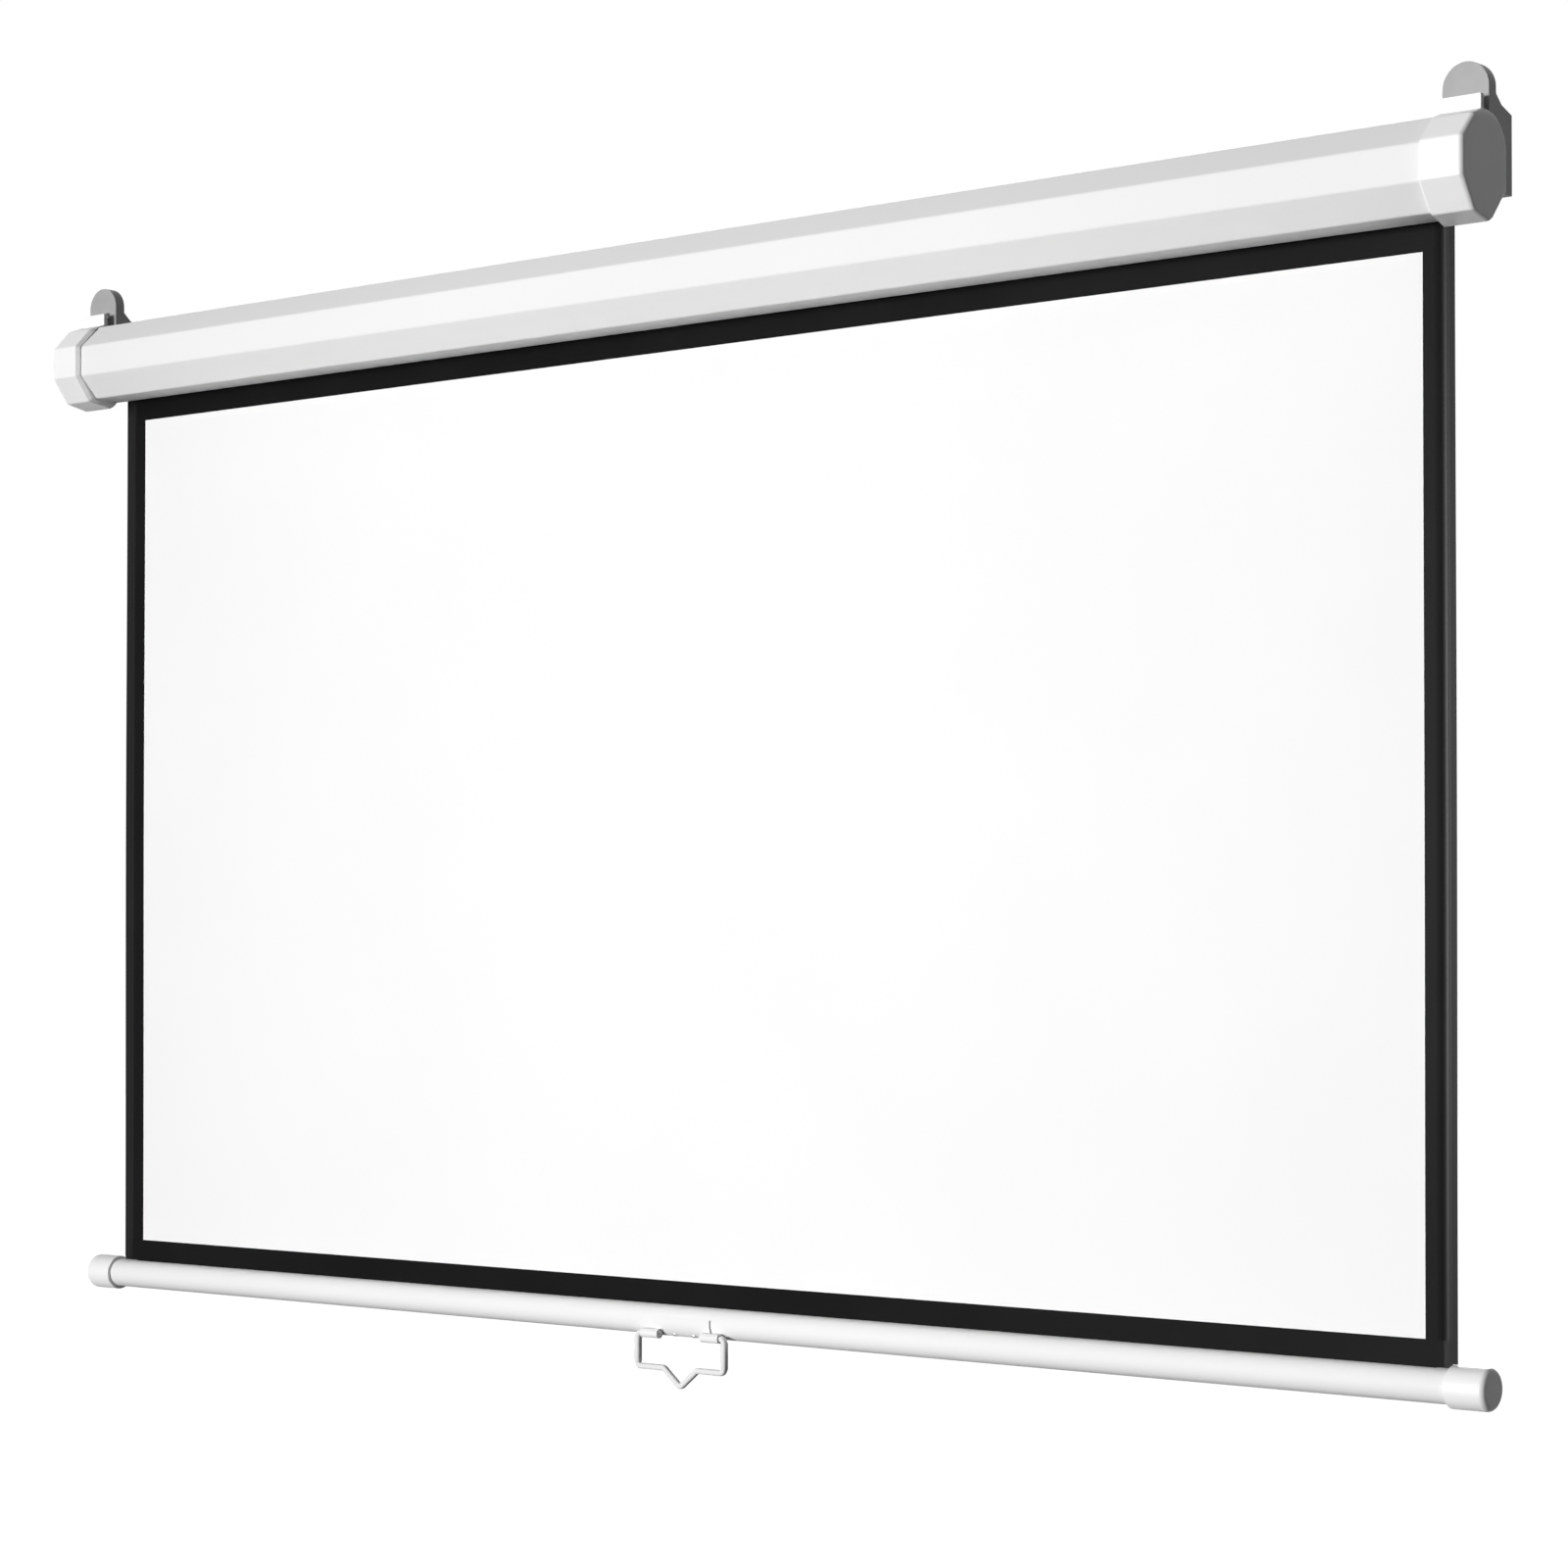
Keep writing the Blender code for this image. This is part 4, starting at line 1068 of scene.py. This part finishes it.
def addLamps():
    for name, lamp in lamps.items():
        place = Vector(lamp["from"])
        aim = (Vector(lamp["to"]) - place).to_track_quat("-Z", "Y").to_euler()
        bpy.ops.object.light_add(type="AREA", location=place, rotation=aim)
        light = bpy.context.object
        light.name = name
        light.data.shape = "SQUARE"
        light.data.size = lamp["size"]
        light.data.spread = math.radians(lamp["spread"])
        light.data.energy = lamp["power"]


def seenRays(tree):
    # 1 for a ray that shows in the picture, straight, mirrored or through a clear piece
    path = tree.nodes.new("ShaderNodeLightPath")
    total = path.outputs["Is Camera Ray"]
    for name in ("Is Glossy Ray", "Is Transmission Ray"):
        add = tree.nodes.new("ShaderNodeMath")
        add.operation = "ADD"
        add.use_clamp = True
        tree.links.new(total, add.inputs[0])
        tree.links.new(path.outputs[name], add.inputs[1])
        total = add.outputs[0]
    return total


def lightWorld():
    world = bpy.context.scene.world or bpy.data.worlds.new("studio")
    bpy.context.scene.world = world
    world.use_nodes = True
    tree = world.node_tree
    background = tree.nodes["Background"]
    background.inputs["Color"].default_value = (1, 1, 1, 1)
    strength = tree.nodes.new("ShaderNodeMapRange")
    strength.inputs["To Min"].default_value = room["ambient"]
    strength.inputs["To Max"].default_value = 1
    tree.links.new(seenRays(tree), strength.inputs["Value"])
    tree.links.new(strength.outputs["Result"], background.inputs["Strength"])


def addFloor():
    bpy.ops.object.select_all(action="DESELECT")
    bpy.ops.mesh.primitive_plane_add(size=room["floorSize"], location=(0, 0, room["floorHeight"]))
    floor = bpy.context.object
    floor.name = "studioFloor"
    settle(floor)
    material = bpy.data.materials.new("paleFloor")
    material.use_nodes = True
    tree = material.node_tree
    shader = tree.nodes["Principled BSDF"]
    shader.inputs["Base Color"].default_value = (*room["floorTint"], 1)
    shader.inputs["Roughness"].default_value = room["floorRoughness"]
    shader.inputs["Emission Color"].default_value = (1, 1, 1, 1)
    glow = tree.nodes.new("ShaderNodeMath")
    glow.operation = "MULTIPLY"
    glow.inputs[1].default_value = room["floorGlow"]
    tree.links.new(seenRays(tree), glow.inputs[0])
    tree.links.new(glow.outputs[0], shader.inputs["Emission Strength"])
    floor.data.materials.append(material)


placeCamera()
addLamps()
lightWorld()
addFloor()
bpy.context.scene.view_settings.view_transform = "Standard"
print("camera, lamps and floor in place")
